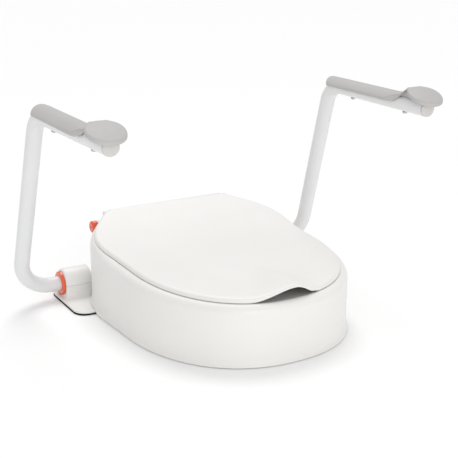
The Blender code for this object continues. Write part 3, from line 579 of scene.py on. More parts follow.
# %% Deck height and rings that follow it
DECK_MIDDLE, DECK_SLOPE, DECK_REAR_RISE = 0.1024, 0.0414, 0.518
REAR_FROM_Y, REAR_TO_Y = 0.030, 0.120
REAR_RIM_LESS, REAR_SHOULDER_MORE = 0.0045, 0.0085
WALL = 0.0035
LID_INSET = 0.0120
SKIRT_CLEARANCE = 0.0010
SHOULDER = 0.0115
HOLE_HALF = np.array((0.105, 0.1375))
HOLE_CENTRE = np.array((0.0, -0.020))
COLLAR_BOTTOM = 0.030
PLATE_TOP = 0.0060
NOTCH_FRONT_Y = 0.092
REAR_STEP_Y, REAR_STEP = (0.186, 0.194), 0.0062


def deck(y):
    """Height of the rim: it climbs steadily, and faster behind the middle."""
    return DECK_MIDDLE + DECK_SLOPE * y + DECK_REAR_RISE * np.maximum(0.0, y) ** 2


def rear_share(y):
    """0 along the nose and sides, 1 round the slanting rear quarters."""
    return smooth_step(REAR_FROM_Y, REAR_TO_Y, y)


def rim_inset(y):
    """How far in the lid starts: the rim grows narrower towards the hinge."""
    return (LID_INSET - REAR_RIM_LESS * rear_share(y))[:, None]


def inset(distance):
    return PLAN - OUTWARD * distance


def opening(grow=0.0):
    """The egg-shaped opening, station by station opposite the plan."""
    away = PLAN - HOLE_CENTRE
    angle = np.arctan2(away[:, 1], away[:, 0])
    way = np.column_stack([np.cos(angle), np.sin(angle)])
    reach = 1 / np.linalg.norm(way / (HOLE_HALF + grow), axis=1)
    return HOLE_CENTRE + way * reach[:, None]


def on_deck(points, drop):
    return np.column_stack([points, deck(points[:, 1]) + drop])


def at_level(points, z):
    """A level ring, lifted where the skirt is cut away over the bracket."""
    y = points[:, 1]
    step = PLATE_TOP + 0.0008 + REAR_STEP * smooth_step(*REAR_STEP_Y, y)
    lift = smooth_step(NOTCH_FRONT_Y - 0.0010, NOTCH_FRONT_Y + 0.0010, y)
    raised = np.maximum(z, step + (z - SKIRT_CLEARANCE) * 0.6)
    return np.column_stack([points, z + (raised - z) * lift])


print("deck height in mm, front and rear:", round(deck(-0.2) / MM, 1), round(float(deck(0.2)) / MM, 1))

# %% Seat body section
LIP_SECTION = [  # stand-out from the wall, height
    (0.0021, 0.0010), (0.0027, 0.0013), (0.0029, 0.0020), (0.0029, 0.0031), (0.0026, 0.0040),
    (0.0019, 0.0049), (0.0011, 0.0058), (0.0005, 0.0070), (0.0002, 0.0085), (0.0, 0.0110),
]


DISH_FALL, HOLE_ROUND, DISH_WALL = 0.0115, 0.0070, 0.0037


def seat_rings():
    rim, hole, collar = inset(rim_inset(PLAN[:, 1])), opening(), opening(0.003)
    rear = rear_share(PLAN[:, 1])
    shoulder_in = (SHOULDER - REAR_RIM_LESS * rear)[:, None]
    shoulder_down = SHOULDER + REAR_SHOULDER_MORE * rear
    rings = [at_level(inset(-out), z) for out, z in LIP_SECTION]
    foot = at_level(inset(0), 0.0110)
    top_of_wall = on_deck(inset(0), -shoulder_down)
    rings += [foot + (top_of_wall - foot) * share for share in (0.2, 0.4, 0.6, 0.8, 0.94)]
    for turn in np.radians(np.linspace(0, 90, 11)):
        into = shoulder_in * (1 - math.cos(turn))
        rings.append(on_deck(inset(into), shoulder_down * (math.sin(turn) - 1)))

    def dish(share):
        """Fall of the seating surface from the rim, 0, to the opening, 1."""
        fall = DISH_FALL * (1 - (1 - share) ** 1.5)
        edge = max(0.0, share - 0.9) / 0.1
        return fall + HOLE_ROUND * (1 - math.sqrt(max(0.0, 1 - edge * edge)))

    shares = (0.02, 0.05, 0.10, 0.18, 0.28, 0.40, 0.52, 0.64, 0.76, 0.86, 0.92, 0.95, 0.975, 0.99, 1.0)
    rings += [on_deck(rim + (hole - rim) * s, -dish(s)) for s in shares]
    shares = (0.85, 0.7, 0.5, 0.3, 0.15, 0.0)
    rings += [on_deck(hole, -0.026), at_level(hole, COLLAR_BOTTOM + 0.001), at_level(collar, COLLAR_BOTTOM)]
    rings += [on_deck(collar, -0.0250)]
    rings += [on_deck(rim + (hole - rim) * s, -dish(s) - DISH_WALL) for s in shares]
    rings += [on_deck(inset(0.0060), -0.0052), on_deck(inset(WALL + 0.0006), -0.0085)]
    rings += [on_deck(inset(WALL), -0.0120), at_level(inset(WALL), SKIRT_CLEARANCE)]
    return rings


seat_mesh = skin("seat_shell_moulding", seat_rings(), loop=True, sharp=50)
print("seat body faces before cutting:", len(seat_mesh.polygons))

# %% [markdown]
# At the rear the body carries the hinges: two ears that hold the pins, a trough where the
# lid's barrel turns, and two slots for the bracket's towers. They are solids joined to the
# shell or cut from it, in the same order a toolmaker would add cores to the mould.

# %% Hinge ears, trough and slots
SEAT_AXIS = (0.190, 0.1158)
LID_AXIS = (0.1985, 0.1315)
BARREL_RADIUS = 0.0073
EAR_HEAD = 0.0058
PIN_RADIUS = 0.0024
EAR_X = (0.1090, 0.1190)
RECESS_HALF_WIDTH = 0.1085
TROUGH_FRONT_Y = 0.1893
TROUGH_BOTTOM = 0.1228
TOWER_SLOT, TOWER_SLOT_FRONT_Y = (0.0915, 0.1082), 0.172
GUIDE_X = (0.1093, 0.1364)
GUIDE_RADIUS = 0.0100
KNOB_POCKET = 0.0116
GAP = 0.0003
PAST_REAR_Y, PAST_TOP_Z, PAST_BOTTOM_Z = 0.25, 0.21, -0.012


def trough_strip():
    front, step = TROUGH_FRONT_Y - 0.0058, TROUGH_FRONT_Y - 0.0021
    back, low = REAR_CORNER[1] - WALL / 2, TROUGH_BOTTOM - 0.0043
    points = [(front, low), (back, low), (back, TROUGH_BOTTOM - 0.0006), (step, TROUGH_BOTTOM - 0.0006),
              (step, TROUGH_BOTTOM + 0.0034), (front, TROUGH_BOTTOM + 0.0034)]
    half = TOWER_SLOT[0] + 0.002
    return prism("trough_strip", points, -half, half, "x")


def ear(side):
    points = np.vstack([arc(SEAT_AXIS, 0.0135, 160, 350, 24), arc(LID_AXIS, EAR_HEAD, -10, 170, 24)])
    start, end = sorted(side * x for x in EAR_X)
    return bevelled(prism("ear", points, start, end, "x"), 0.0006, 60)


for side in SIDES.values():
    seat_mesh = joined(seat_mesh, ear(side))
seat_mesh = joined(seat_mesh, trough_strip())
trough = block(
    "trough", (-RECESS_HALF_WIDTH, TROUGH_FRONT_Y, TROUGH_BOTTOM),
    (RECESS_HALF_WIDTH, PAST_REAR_Y, PAST_TOP_Z))
seat_mesh = cut(seat_mesh, trough, solver="MANIFOLD")
for side in SIDES.values():
    start, end = sorted(side * x for x in TOWER_SLOT)
    low, high = (start, TOWER_SLOT_FRONT_Y, PAST_BOTTOM_Z), (end, PAST_REAR_Y, PAST_TOP_Z)
    seat_mesh = cut(seat_mesh, block("tower_slot", low, high), solver="MANIFOLD")
    begin = side * (EAR_X[0] - 0.002)
    bores = [
        rod("guide_bore", (begin, *SEAT_AXIS), side * 0.040, GUIDE_RADIUS + GAP, sides=48),
        rod("knob_pocket", (side * (GUIDE_X[1] - 0.001), *SEAT_AXIS), side * 0.02, KNOB_POCKET, sides=48),
        rod("pin_bore", (begin, *LID_AXIS), side * 0.0108, PIN_RADIUS + GAP, sides=24),
    ]
    seat_mesh = cut(seat_mesh, *bores, solver="MANIFOLD")
seat_mesh = tidy_mesh(seat_mesh, 35)
add_piece(seat_mesh, "seat_body", "seat", WHITE, ["seat_shell"])

# %% [markdown]
# ## Lid
# The lid is a thin cover that lies on the rim twelve millimetres in from the edge, and a
# little less round the rear quarters. Its front has a finger wave: the edge lifts gently
# from the left, peaks near the middle and drops steeply on the right into a valley that is
# sharp at the front and fades to the rear. Rather than pushing single points, the whole
# wave is one height formula over the plan, sampled by a dense mesh, so that the crease
# stays crisp and the rest stays smooth.

# %% Finger wave
LID_EDGE_HEIGHT = 0.0076
LID_THICKNESS = 0.0040
WAVE_LIFT = 0.0126
WAVE_REST, WAVE_REST_WIDTH = 0.20, 0.016
VALLEY_FRONT_X = 0.0375
WAVE_REAR_Y = -0.080
LID_PLAN, LID_OUT = stations(520, 4.5)


def valley_x(y):
    """Where the crease runs: it bends towards the middle as it goes back."""
    back = 0.0235 * np.clip((y + 0.165) / 0.081, 0, 1.2) ** 2.6
    ahead = 0.0035 * np.clip((-0.165 - y) / 0.047, 0, 1.2) ** 2
    return VALLEY_FRONT_X - 0.0040 * smooth_step(-0.19, -0.13, y) - back - ahead


def wave(x, y):
    """Share of the full lift, from 0 to 1."""
    forward = smooth_step(WAVE_REAR_Y, -0.2130, y)
    valley = valley_x(y)
    crest = valley - 0.0140 - 0.0165 * forward
    start = crest - 0.034 - 0.042 * forward
    rise = smooth_step(0, 1, (x - start) / (crest - start))
    across = np.clip((x - crest) / (valley - crest), 0, 1)
    beyond = 1 - smooth_step(0, WAVE_REST_WIDTH, x - valley)
    fall = WAVE_REST * beyond + (1 - WAVE_REST) * np.cos(math.pi / 2 * across) ** 1.15
    return np.where(x < crest, rise, fall) * forward


def lid_ring(points, height, edge=0.0):
    lift = wave(points[:, 0], points[:, 1])
    return np.column_stack([points, deck(points[:, 1]) + height + lift * (WAVE_LIFT + edge)])


front_x, front_y = np.linspace(-0.06, 0.06, 121), np.full(121, -0.2076)
print("crest height of the wave in mm:", round(float(wave(front_x, front_y).max()) * WAVE_LIFT / MM, 1))

# %% Lid section
LID_ROLL = 0.0050


def lid_inset(distance):
    """A ring this far inside the lid's edge."""
    return LID_PLAN - LID_OUT * (rim_inset(LID_PLAN[:, 1]) + distance)


def lid_rings():
    middle = np.array((0.0, 0.01))
    field = lid_inset(LID_ROLL)
    under = LID_EDGE_HEIGHT - LID_THICKNESS
    shares = np.concatenate([[0.985], np.linspace(0.95, 0.50, 8), np.linspace(0.46, 0.02, 26)])

    def crown(share):
        return LID_EDGE_HEIGHT - 0.0015 * float(smooth_step(0, 0.45, share))

    rings = [lid_ring(field + (middle - field) * s, crown(s)) for s in shares]
    for turn in np.radians(np.linspace(90, 0, 12)):
        out = LID_ROLL * (1 - math.cos(turn))
        rise = 0.0046 * (math.sin(turn) - 1)
        rings.append(lid_ring(lid_inset(out), LID_EDGE_HEIGHT + rise, 0.0016 * math.cos(turn)))
    rings += [lid_ring(lid_inset(0.0), 0.0010, 0.0026), lid_ring(lid_inset(0.0005), 0.0004, 0.0030)]
    rings += [lid_ring(lid_inset(0.0030), 0.0004, 0.0030)]
    rings += [lid_ring(lid_inset(0.0040), under - 0.0006), lid_ring(lid_inset(0.0048), under)]
    rings += [lid_ring(field + (middle - field) * s, crown(s) - LID_THICKNESS) for s in shares[::-1]]
    return rings


lid_mesh = skin("lid_panel_moulding", lid_rings(), sharp=50)
print("lid faces before cutting:", len(lid_mesh.polygons))

# %% Lid barrel and ear grooves
axis_y, axis_z = LID_AXIS
barrel_half = RECESS_HALF_WIDTH - GAP
for side in SIDES.values():
    start, end = sorted((side * barrel_half, side * (EAR_X[1] + 0.0004)))
    reach = EAR_HEAD + 0.0004
    over_ear = rod("over_ear", (start, axis_y, axis_z), end - start, reach, sides=48)
    low, high = (start, axis_y - reach, TROUGH_BOTTOM), (end, PAST_REAR_Y, axis_z)
    lid_mesh = cut(lid_mesh, over_ear, block("behind_ear", low, high))
barrel = rod("barrel", (-barrel_half, axis_y, axis_z), 2 * barrel_half, BARREL_RADIUS, sides=64)
lid_mesh = joined(lid_mesh, bevelled(barrel, 0.0008, 60))
for side in SIDES.values():
    bore = rod("pin_bore", (side * 0.0980, axis_y, axis_z), side * 0.014, PIN_RADIUS + GAP, sides=24)
    lid_mesh = cut(lid_mesh, bore)
lid_mesh = tidy_mesh(lid_mesh, 38)
add_piece(lid_mesh, "lid_cover", "lid", WHITE, ["lid_panel"])

# %% [markdown]
# ## Rubber buffers
# Four pads under the lid keep it from clapping on the rim, and four blocks inside the skirt
# sit on the bowl. A turned pad with a rounded foot and a bevelled block are enough, as
# long as the edges are soft: hard edges are what makes small rubber parts look false.

# %% Lid buffers and seat buffers
LID_BUFFERS = {
    "front_left": (-0.080, -0.150), "front_right": (0.080, -0.150),
    "rear_left": (-0.128, 0.080), "rear_right": (0.128, 0.080),
}
for spot, (x, y) in LID_BUFFERS.items():
    node = f"lid_buffer_{spot}"
    low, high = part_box(node)
    radius = (high.x - low.x) / 2
    corner = 0.0012
    profile = [(low.z, radius - corner * 1.6), (low.z + corner * 0.15, radius - corner * 0.8)]
    profile += [(low.z + corner * (1 - math.cos(t)), radius - corner * (1 - math.sin(t)))
                for t in np.radians((45, 70, 90))]
    profile += [(high.z - 0.0006, radius), (high.z, radius - 0.0005)]
    mesh = stacked(node + "_rubber", profile, (x, y, 0.0), "z", 40)
    add_piece(mesh, node + "_pad", "lid", RUBBER, [node])

for spot in LID_BUFFERS:
    node = f"seat_buffer_{spot.replace('rear', 'side')}"
    mesh = bevelled(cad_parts[node].data.copy(), 0.0012, 30)
    add_piece(mesh, node + "_block", "seat", RUBBER, [node])

# %% [markdown]
# ## Mounting bracket
# The bracket stays on the bowl when the seat swings up. It is a flat plate with two wings,
# bolted through two slots, and each wing carries the lower half of an arm pivot. The plate
# is a prism with rounded corners, slots cut through it, and all edges bevelled.

# %% Bracket plate
MAT_THICKNESS = 0.0020
WING_X = 0.2130
WING_INNER_X = 0.1300
WING_FRONT_Y = 0.0940
BRIDGE_FRONT_Y = 0.1400
BRACKET_REAR_Y = 0.2226
WING_CORNER = 0.0220
SLOT_X, SLOT_Y, SLOT_WIDTH = 0.0775, (0.1560, 0.2040), 0.0095


def bracket_half(grow=0.0, steps=14):
    """The +X half of the bracket's plan, from the middle of the rear to the bridge."""
    r, x, front = WING_CORNER, WING_X + grow, WING_FRONT_Y - grow
    parts = [[(x - r, BRACKET_REAR_Y)], arc((x - r, BRACKET_REAR_Y - r), r, 90, 0, steps)[1:],
             arc((x - r, front + r), r, 0, -90, steps), [(WING_INNER_X + 0.010, front)],
             [(WING_INNER_X - grow, front + 0.010)]]
    return np.vstack(parts)


def bracket_plate():
    wing = bracket_half()
    bridge = [(WING_INNER_X - 0.012, BRIDGE_FRONT_Y - 0.012), (WING_INNER_X - 0.030, BRIDGE_FRONT_Y)]
    half = np.vstack([wing, bridge])
    outline = np.vstack([half, half[::-1] * (-1, 1)])
    mesh = prism("bracket_plate", outline, MAT_THICKNESS + GAP, PLATE_TOP, "z")
    r = SLOT_WIDTH / 2
    for side in SIDES.values():
        x = side * SLOT_X
        rear_end = arc((x, SLOT_Y[1] - r), r, 0, 180, 16)
        front_end = arc((x, SLOT_Y[0] + r), r, 180, 360, 16)
        slot_tool = prism("slot", np.vstack([rear_end, front_end]), -PLATE_TOP, 2 * PLATE_TOP, "z")
        mesh = cut(mesh, slot_tool)
    return bevelled(mesh, 0.0009, 50, 3)


add_piece(bracket_plate(), "bracket_plate", "base", WHITE, ["base_bracket"])

# %% [markdown]
# The pivot housing meets the wing in a concave sweep, the way a moulded boss grows out of a
# plate. Each level is a rounded rectangle that grows as it nears the plate, along a quarter
# circle. The seat's hinge tower stands beside it, a flat upright with a round head.

# %% Housing feet and hinge towers
PIVOT = (0.1900, 0.0265)
HOUSING_X = (0.1575, 0.2035)
HOUSING_RADIUS = 0.0240
CHAMBER_X = (0.1650, 0.1735)
BUSH_RADIUS = 0.0154
FLANGE_RADIUS = 0.0200
SWEEP = 0.0110
SWEEP_ALONG, SWEEP_OUT, SWEEP_CORNER = 0.92, 0.66, 0.45
TOWER_X = (0.0945, 0.1065)
TOWER_RADIUS = 0.0100
SHAFT_RADIUS = 0.0040


def rounded_rectangle(x_low, x_high, y_low, y_high, corner, steps=8):
    corners = [((x_high - corner, y_high - corner), 0), ((x_low + corner, y_high - corner), 90),
               ((x_low + corner, y_low + corner), 180), ((x_high - corner, y_low + corner), 270)]
    return np.vstack([arc(centre, corner, turn, turn + 90, steps) for centre, turn in corners])


def housing_foot(side):
    y, z = PIVOT
    rings = []
    flare = PLATE_TOP + SWEEP * (1 - np.cos(np.radians(np.linspace(0, 90, 14))))
    heights = [PLATE_TOP - 0.0010, *flare, z - 0.0040, z - 0.0006, z - GAP / 2]
    for height in heights:
        up = min(1.0, max(0.0, (height - PLATE_TOP) / SWEEP))
        spread = SWEEP * (1 - math.sqrt(1 - (1 - up) ** 2))
        half = HOUSING_RADIUS + spread * SWEEP_ALONG
        out = HOUSING_X[1] + spread * SWEEP_OUT
        inner = HOUSING_X[0] + spread * SWEEP_OUT
        rear = min(y + half, BRACKET_REAR_Y - 0.0005)
        ease = 0.0004 if height > z - 0.0005 else 0.0
        corner = 0.0030 + spread * SWEEP_CORNER
        ring = rounded_rectangle(inner + ease, out - ease, y - half + ease, rear - ease, corner)
        rings.append(np.column_stack([ring, np.full(len(ring), height)]))
    mesh = skin("housing_foot", mirrored(rings, side))
    groove = rod("groove", (side * CHAMBER_X[0], y, z), side * 0.06, BUSH_RADIUS + GAP, sides=64)
    ring_start = (side * HOUSING_X[1], y, z)
    seat_for_ring = rod("ring_seat", ring_start, side * 0.012, FLANGE_RADIUS + GAP, sides=64)
    low = min(side * CHAMBER_X[0], side * CHAMBER_X[1])
    shelf = block("pin_shelf", (low, y - 0.020, z - 0.0029), (low + CHAMBER_X[1] - CHAMBER_X[0], y, 0.04))
    return tidy_mesh(cut(mesh, groove, seat_for_ring, shelf), 32)


def hinge_tower(side):
    y, z = SEAT_AXIS
    points = np.vstack([
        arc((y, z), TOWER_RADIUS, 0, 180, 28), [(y - TOWER_RADIUS - 0.004, 0.060)],
        [(y - 0.022, PLATE_TOP + 0.012), (y - 0.026, PLATE_TOP - 0.002), (y + 0.018, PLATE_TOP - 0.002)],
        [(y + 0.012, PLATE_TOP + 0.012), (y + 0.006, 0.060), (y + 0.0055, z - 0.012)]])
    start, end = sorted(side * x for x in TOWER_X)
    mesh = prism("tower", points, start, end, "x")
    mesh = cut(mesh, rod("shaft_bore", (start - 0.002, y, z), 0.016, SHAFT_RADIUS + GAP, sides=48))
    return bevelled(mesh, 0.0006, 50)


for hand, side in SIDES.items():
    add_piece(housing_foot(side), f"{hand}_housing_foot", "base", WHITE)
    add_piece(hinge_tower(side), f"{hand}_hinge_tower", "base", WHITE)

# %% [markdown]
# ## Pivot covers, rings and mats
# The cover is half a hollow cylinder with a rounded outer end, screwed on from below. The orange
# ring is the flange of the bearing bush that the arm turns in. Both are turned profiles.
# The mat under each wing is a prism a little larger than the wing, so it shows as a rim.

# %% Covers
COVER_ROUND = 0.0040
INNER_ROUND = 0.0008


def cover_profile():
    (a, b), (c, d), r = HOUSING_X, CHAMBER_X, HOUSING_RADIUS
    bore = BUSH_RADIUS + GAP
    inner_end = arc((a + INNER_ROUND, r - INNER_ROUND), INNER_ROUND, 180, 90, 4)
    outer_end = arc((b - COVER_ROUND, r - COVER_ROUND), COVER_ROUND, 90, 0, 8)
    return np.vstack([[(a, 0.004)], inner_end, outer_end,
                      [(b, bore), (d, bore), (d, 0.0200), (c, 0.0200), (c, 0.004)]])


for hand, side in SIDES.items():
    centre = (0, PIVOT[0], PIVOT[1] + GAP / 2)
    mesh = turned("pivot_cover", mirrored(cover_profile(), side), centre, sides=49, turn=math.pi)
    mesh = bevelled(mesh, 0.0004, 70, 2)
    node = f"{hand}_housing_cover"
    add_piece(mesh, f"{hand}_pivot_cover", "base", WHITE, [node])

# %% Bush rings and grip mats
BUSH_BORE = 0.01285
FLANGE_X = (0.2038, 0.2085)


def bush_profile():
    a, (b, c), r, ease = CHAMBER_X[1] + GAP, FLANGE_X, FLANGE_RADIUS, 0.0014
    face = arc((c - ease, r - ease), ease, 90, 0, 8)
    mouth = arc((c - ease / 2, BUSH_BORE + ease / 2), ease / 2, 0, -90, 5)
    sleeve = [(a, BUSH_BORE), (a, BUSH_RADIUS), (b, BUSH_RADIUS), (b, r - 0.0005), (b + 0.0005, r)]
    return np.vstack([sleeve, face, mouth])


for hand, side in SIDES.items():
    mesh = turned("bush_ring", mirrored(bush_profile(), side), (0, *PIVOT), sides=96)
    add_piece(mesh, f"{hand}_bush_ring", "base", ORANGE, [f"{hand}_pivot_bush"])
    wing = bracket_half(0.0009)
    wing = np.vstack([wing, [(WING_INNER_X - 0.0009, BRACKET_REAR_Y)]])
    mesh = bevelled(prism("mat", mirrored(wing, side), 0.0, MAT_THICKNESS, "z"), 0.0005, 50, 2)
    add_piece(mesh, f"{hand}_mat", "base", RUBBER, [f"{hand}_grip_mat"])

# %% [markdown]
# ## Release pins
# Each side of the seat hangs on a spring-loaded pin. Pulling the orange knob outwards draws
# the steel shaft out of the tower, and the seat lifts away. The knob is turned with a
# rounded face and a shallow waist for the fingers.

# %% Knobs, shafts, guides and pins
KNOB_X = (0.1370, 0.1470)
KNOB_RADIUS = 0.0104


def knob_profile():
    (a, b), r, face = KNOB_X, KNOB_RADIUS, 0.0038
    bore = SHAFT_RADIUS + GAP
    waist = [(a + 0.0004, r - 0.0005), (a + 0.0012, r), (a + 0.0028, r - 0.0006), (a + 0.0045, r - 0.0006)]
    rounded = arc((b - face, r - face), face, 78, 4, 10)
    return np.vstack([[(a, bore), (a, r - 0.0014)], waist, rounded,
                      [(b, r - 0.0062), (b - 0.0006, 0.0015), (b - 0.0030, 0.0015), (b - 0.0030, bore)]])


def shaft_profile():
    a, b, (c, d), r = 0.0980, 0.1435, (0.1165, 0.1185), SHAFT_RADIUS
    return [(a, 0.0004), (a, r - 0.0012), (a + 0.0012, r), (c, r), (c, 0.0067), (c + 0.0003, 0.0070),
            (d - 0.0003, 0.0070), (d, 0.0067), (d, r), (b - 0.0005, r), (b, r - 0.0005), (b, 0.0004)]


def guide_profile():
    (a, b), r, ease = GUIDE_X, GUIDE_RADIUS, 0.0006
    bore = SHAFT_RADIUS + GAP
    return [(a, bore), (a, r - ease), (a + ease, r), (b - ease, r), (b, r - ease), (b, bore),
            (0.1340, bore), (0.1340, 0.0078), (0.1162, 0.0078), (0.1162, bore)]


def pin_profile():
    a, b, r = 0.0985, EAR_X[1] - 0.0014, PIN_RADIUS
    return [(a, 0.0002), (a, r - 0.0004), (a + 0.0004, r), (b - 0.0004, r), (b, r - 0.0004), (b, 0.0002)]


for hand, side in SIDES.items():
    release = f"{hand}_release"
    parts = [
        ("knob", knob_profile(), SEAT_AXIS, release, ORANGE, "release_knob"),
        ("shaft", shaft_profile(), SEAT_AXIS, release, STEEL, "hinge_shaft"),
        ("guide", guide_profile(), SEAT_AXIS, "seat", WHITE, "pin_guide"),
        ("lid_axle", pin_profile(), LID_AXIS, "seat", STEEL, "lid_pin"),
    ]
    for name, profile, axis, body, finish_kind, node in parts:
        mesh = turned(name, mirrored(profile, side), (0, *axis), sides=64)
        add_piece(mesh, f"{hand}_{name}", body, finish_kind, [f"{hand}_{node}"])

# %% [markdown]
# A coil spring presses each shaft inwards. It is a small circle carried along a helix.

# %% Release springs
SPRING_X = (0.1194, 0.1332)
SPRING_TURNS, SPRING_RADIUS, SPRING_WIRE = 4.5, 0.0061, 0.0005


def spring_mesh(side, steps=200):
    y, z = SEAT_AXIS
    share = np.linspace(0, 1, steps)
    angle = math.tau * SPRING_TURNS * share
    x = SPRING_X[0] + (SPRING_X[1] - SPRING_X[0]) * share
    out = np.column_stack([np.zeros(steps), np.cos(angle), np.sin(angle)])
    line = np.column_stack([x, np.full(steps, y), np.full(steps, z)]) + out * SPRING_RADIUS
    turn = np.linspace(0, math.tau, 10, endpoint=False)
    along = np.array((1.0, 0.0, 0.0))
    rings = [c + SPRING_WIRE * (np.cos(turn)[:, None] * o + np.sin(turn)[:, None] * along)
             for c, o in zip(line, out)]
    return skin("release_spring", mirrored(rings, side))


for hand, side in SIDES.items():
    node = f"{hand}_release_spring"
    spring = add_piece(spring_mesh(side), f"{hand}_pin_spring", "seat", STEEL, [node])
    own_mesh(spring)

# %% [markdown]
# ## Arm tubes
# Each arm is one steel tube bent twice: out of the pivot, up, and forward under the pad.
# The centre line is straight runs joined by arcs. Rings are carried along it, each turned
# as little as possible from the last, which keeps the skin from twisting in the bends.

# %% Arm centre line
ARM_POINTS = np.array([
    (0.1660, 0.1900, 0.0265), (0.2780, 0.1900, 0.0265),
    (0.2666, 0.0867, 0.3390), (0.2605, -0.1720, 0.3390),
])
BENDS = (0.055, 0.045)
TUBE_RADIUS, TUBE_WALL = 0.0125, 0.0015
STOP_PIN_X = 0.1692


def bend_points(before, corner, after, radius, steps=22):
    a = (before - corner) / np.linalg.norm(before - corner)
    b = (after - corner) / np.linalg.norm(after - corner)
    half = math.acos(float(a @ b)) / 2
    middle = a + b
    centre = corner + middle / np.linalg.norm(middle) * radius / math.sin(half)
    first = corner + a * radius / math.tan(half) - centre
    last = corner + b * radius / math.tan(half) - centre
    sweep = math.pi - 2 * half
    return [centre + (first * math.sin((1 - t) * sweep) + last * math.sin(t * sweep)) / math.sin(sweep)
            for t in np.linspace(0, 1, steps)]


def arm_line():
    line = [ARM_POINTS[0]]
    for k, radius in enumerate(BENDS, start=1):
        bend = bend_points(ARM_POINTS[k - 1], ARM_POINTS[k], ARM_POINTS[k + 1], radius)
        run = [line[-1] + (bend[0] - line[-1]) * t for t in np.linspace(0, 1, 7)[1:-1]]
        line += run + bend
    line += [line[-1] + (ARM_POINTS[-1] - line[-1]) * t for t in np.linspace(0, 1, 14)[1:]]
    return np.array(line)


def swept(line, radius, sides=48):
    rings, across = [], np.array((0.0, 0.0, 1.0))
    for i, point in enumerate(line):
        ahead = line[min(i + 1, len(line) - 1)] - line[max(i - 1, 0)]
        ahead /= np.linalg.norm(ahead)
        across = across - ahead * (across @ ahead)
        across /= np.linalg.norm(across)
        other = np.cross(ahead, across)
        angle = np.linspace(0, math.tau, sides, endpoint=False)[:, None]
        rings.append(point + radius * (np.cos(angle) * across + np.sin(angle) * other))
    return rings


ARM_LINE = arm_line()
print("arm centre line in mm:", round(np.linalg.norm(np.diff(ARM_LINE, axis=0), axis=1).sum() / MM))

# %% Arm tubes, plugs and pins
def tube_mesh(side):
    outer = swept(ARM_LINE, TUBE_RADIUS)
    inner = swept(ARM_LINE, TUBE_RADIUS - TUBE_WALL)[::-1]
    return skin("arm_tube", mirrored(outer + inner, side), loop=True)


def plug_profile():
    face = ARM_POINTS[-1][1] - GAP
    dome = [(face - 0.0012 - 0.0024 * math.sin(t), 0.0123 - 0.0026 * (1 - math.cos(t)))
            for t in np.radians(np.linspace(0, 90, 8))]
    dome += [(dome[-1][0] + 0.0002, 0.0070), (dome[-1][0] + 0.0003, 0.0030), (dome[-1][0] + 0.0003, 0.0004)]
    return [(face + 0.010, 0.0004), (face + 0.010, 0.0095), (face + 0.0095, 0.0100), (face, 0.0102),
            (face, 0.0123)] + dome


for hand, side in SIDES.items():
    arm = f"{hand}_arm"
    add_piece(tube_mesh(side), f"{hand}_tube", arm, POWDER, [f"{hand}_arm_tube"])
    x, _, z = ARM_POINTS[-1]
    mesh = stacked("tube_plug", plug_profile(), (side * x, 0.0, z), "y")
    add_piece(mesh, f"{hand}_tube_plug", arm, PLUG, [f"{hand}_end_plug"])
    rear, front = PIVOT[0] + 0.0115, PIVOT[0] - 0.0190
    pin = [(front, 0.0018), (front + 0.0005, 0.0025), (rear - 0.0005, 0.0025), (rear, 0.0020)]
    mesh = stacked("cross_pin", pin, (side * STOP_PIN_X, 0.0, PIVOT[1]), "y", 24)
    add_piece(mesh, f"{hand}_cross_pin", arm, STEEL, [f"{hand}_stop_pin"])

# %% [markdown]
# ## Armrests
# The armrest is a thin arched plank that hugs the tube, pulls in at a waist, rises in an S
# and ends in a tilted, slightly domed disc for the hand. A rib under the disc carries it on
# the tube. The plan is described by a distance: how far a point lies inside the plank or
# the disc, softly joined. The same distance then rounds the upper edge by one radius and
# the lower edge by a smaller one, so that the edge is even all the way round.

# %% Armrest plan and heights
PAD_X, PAD_TOP, PAD_SKIRT = 0.2625, 0.3548, 0.3412
PAD_ARCH = 0.0100
PAD_HALF, PAD_REAR_Y = 0.0215, 0.0800
WAIST_Y, WAIST_HALF = -0.1270, 0.0115
DISC_Y, DISC_Z, DISC_RADIUS, DISC_TILT, DISC_THICKNESS = -0.1640, 0.3600, 0.0278, 0.36, 0.0062
DISC_DOME = 0.0040
CREST_SOFT = 0.0080
RIB_HALF, RIB_FRONT_Y = 0.0088, -0.1752
TOP_ROUND, UNDER_ROUND = 0.0024, 0.0016


def plan_distance(x, y):
    """How far (x, y), measured from the pad's own middle line, lies inside the outline."""
    half = PAD_HALF + (WAIST_HALF - PAD_HALF) * smooth_step(WAIST_Y + 0.036, WAIST_Y + 0.006, y)
    beyond = np.maximum(y - (PAD_REAR_Y - PAD_HALF), DISC_Y - y)
    plank = half - np.hypot(x, np.maximum(0.0, beyond))
    disc = DISC_RADIUS - np.hypot(x, (y - DISC_Y) / math.cos(DISC_TILT))
    soft = 0.004 + 0.008 * smooth_step(DISC_Y - 0.002, DISC_Y + 0.024, y)
    share = np.clip(0.5 + 0.5 * (disc - plank) / soft, 0, 1)
    return plank + (disc - plank) * share + soft * share * (1 - share)


def half_width(y):
    low, high = 0.0, 0.032
    for _ in range(30):
        middle = (low + high) / 2
        low, high = (middle, high) if plan_distance(middle, y) > 0 else (low, middle)
    return low


def top_and_under(y):
    plane = DISC_Z + (y - DISC_Y) * math.tan(DISC_TILT)
    crest = 0.3700 - 0.25 * max(0.0, y - (DISC_Y + 0.026))
    share = min(1.0, max(0.0, 0.5 + 0.5 * (crest - plane) / CREST_SOFT))
    disc_top = crest + (plane - crest) * share - CREST_SOFT * share * (1 - share)
    top = PAD_TOP + (disc_top - PAD_TOP) * float(smooth_step(WAIST_Y + 0.014, WAIST_Y - 0.014, y))
    flare = float(smooth_step(WAIST_Y + 0.028, WAIST_Y - 0.006, y))
    return top, PAD_SKIRT + (disc_top - DISC_THICKNESS - PAD_SKIRT) * flare


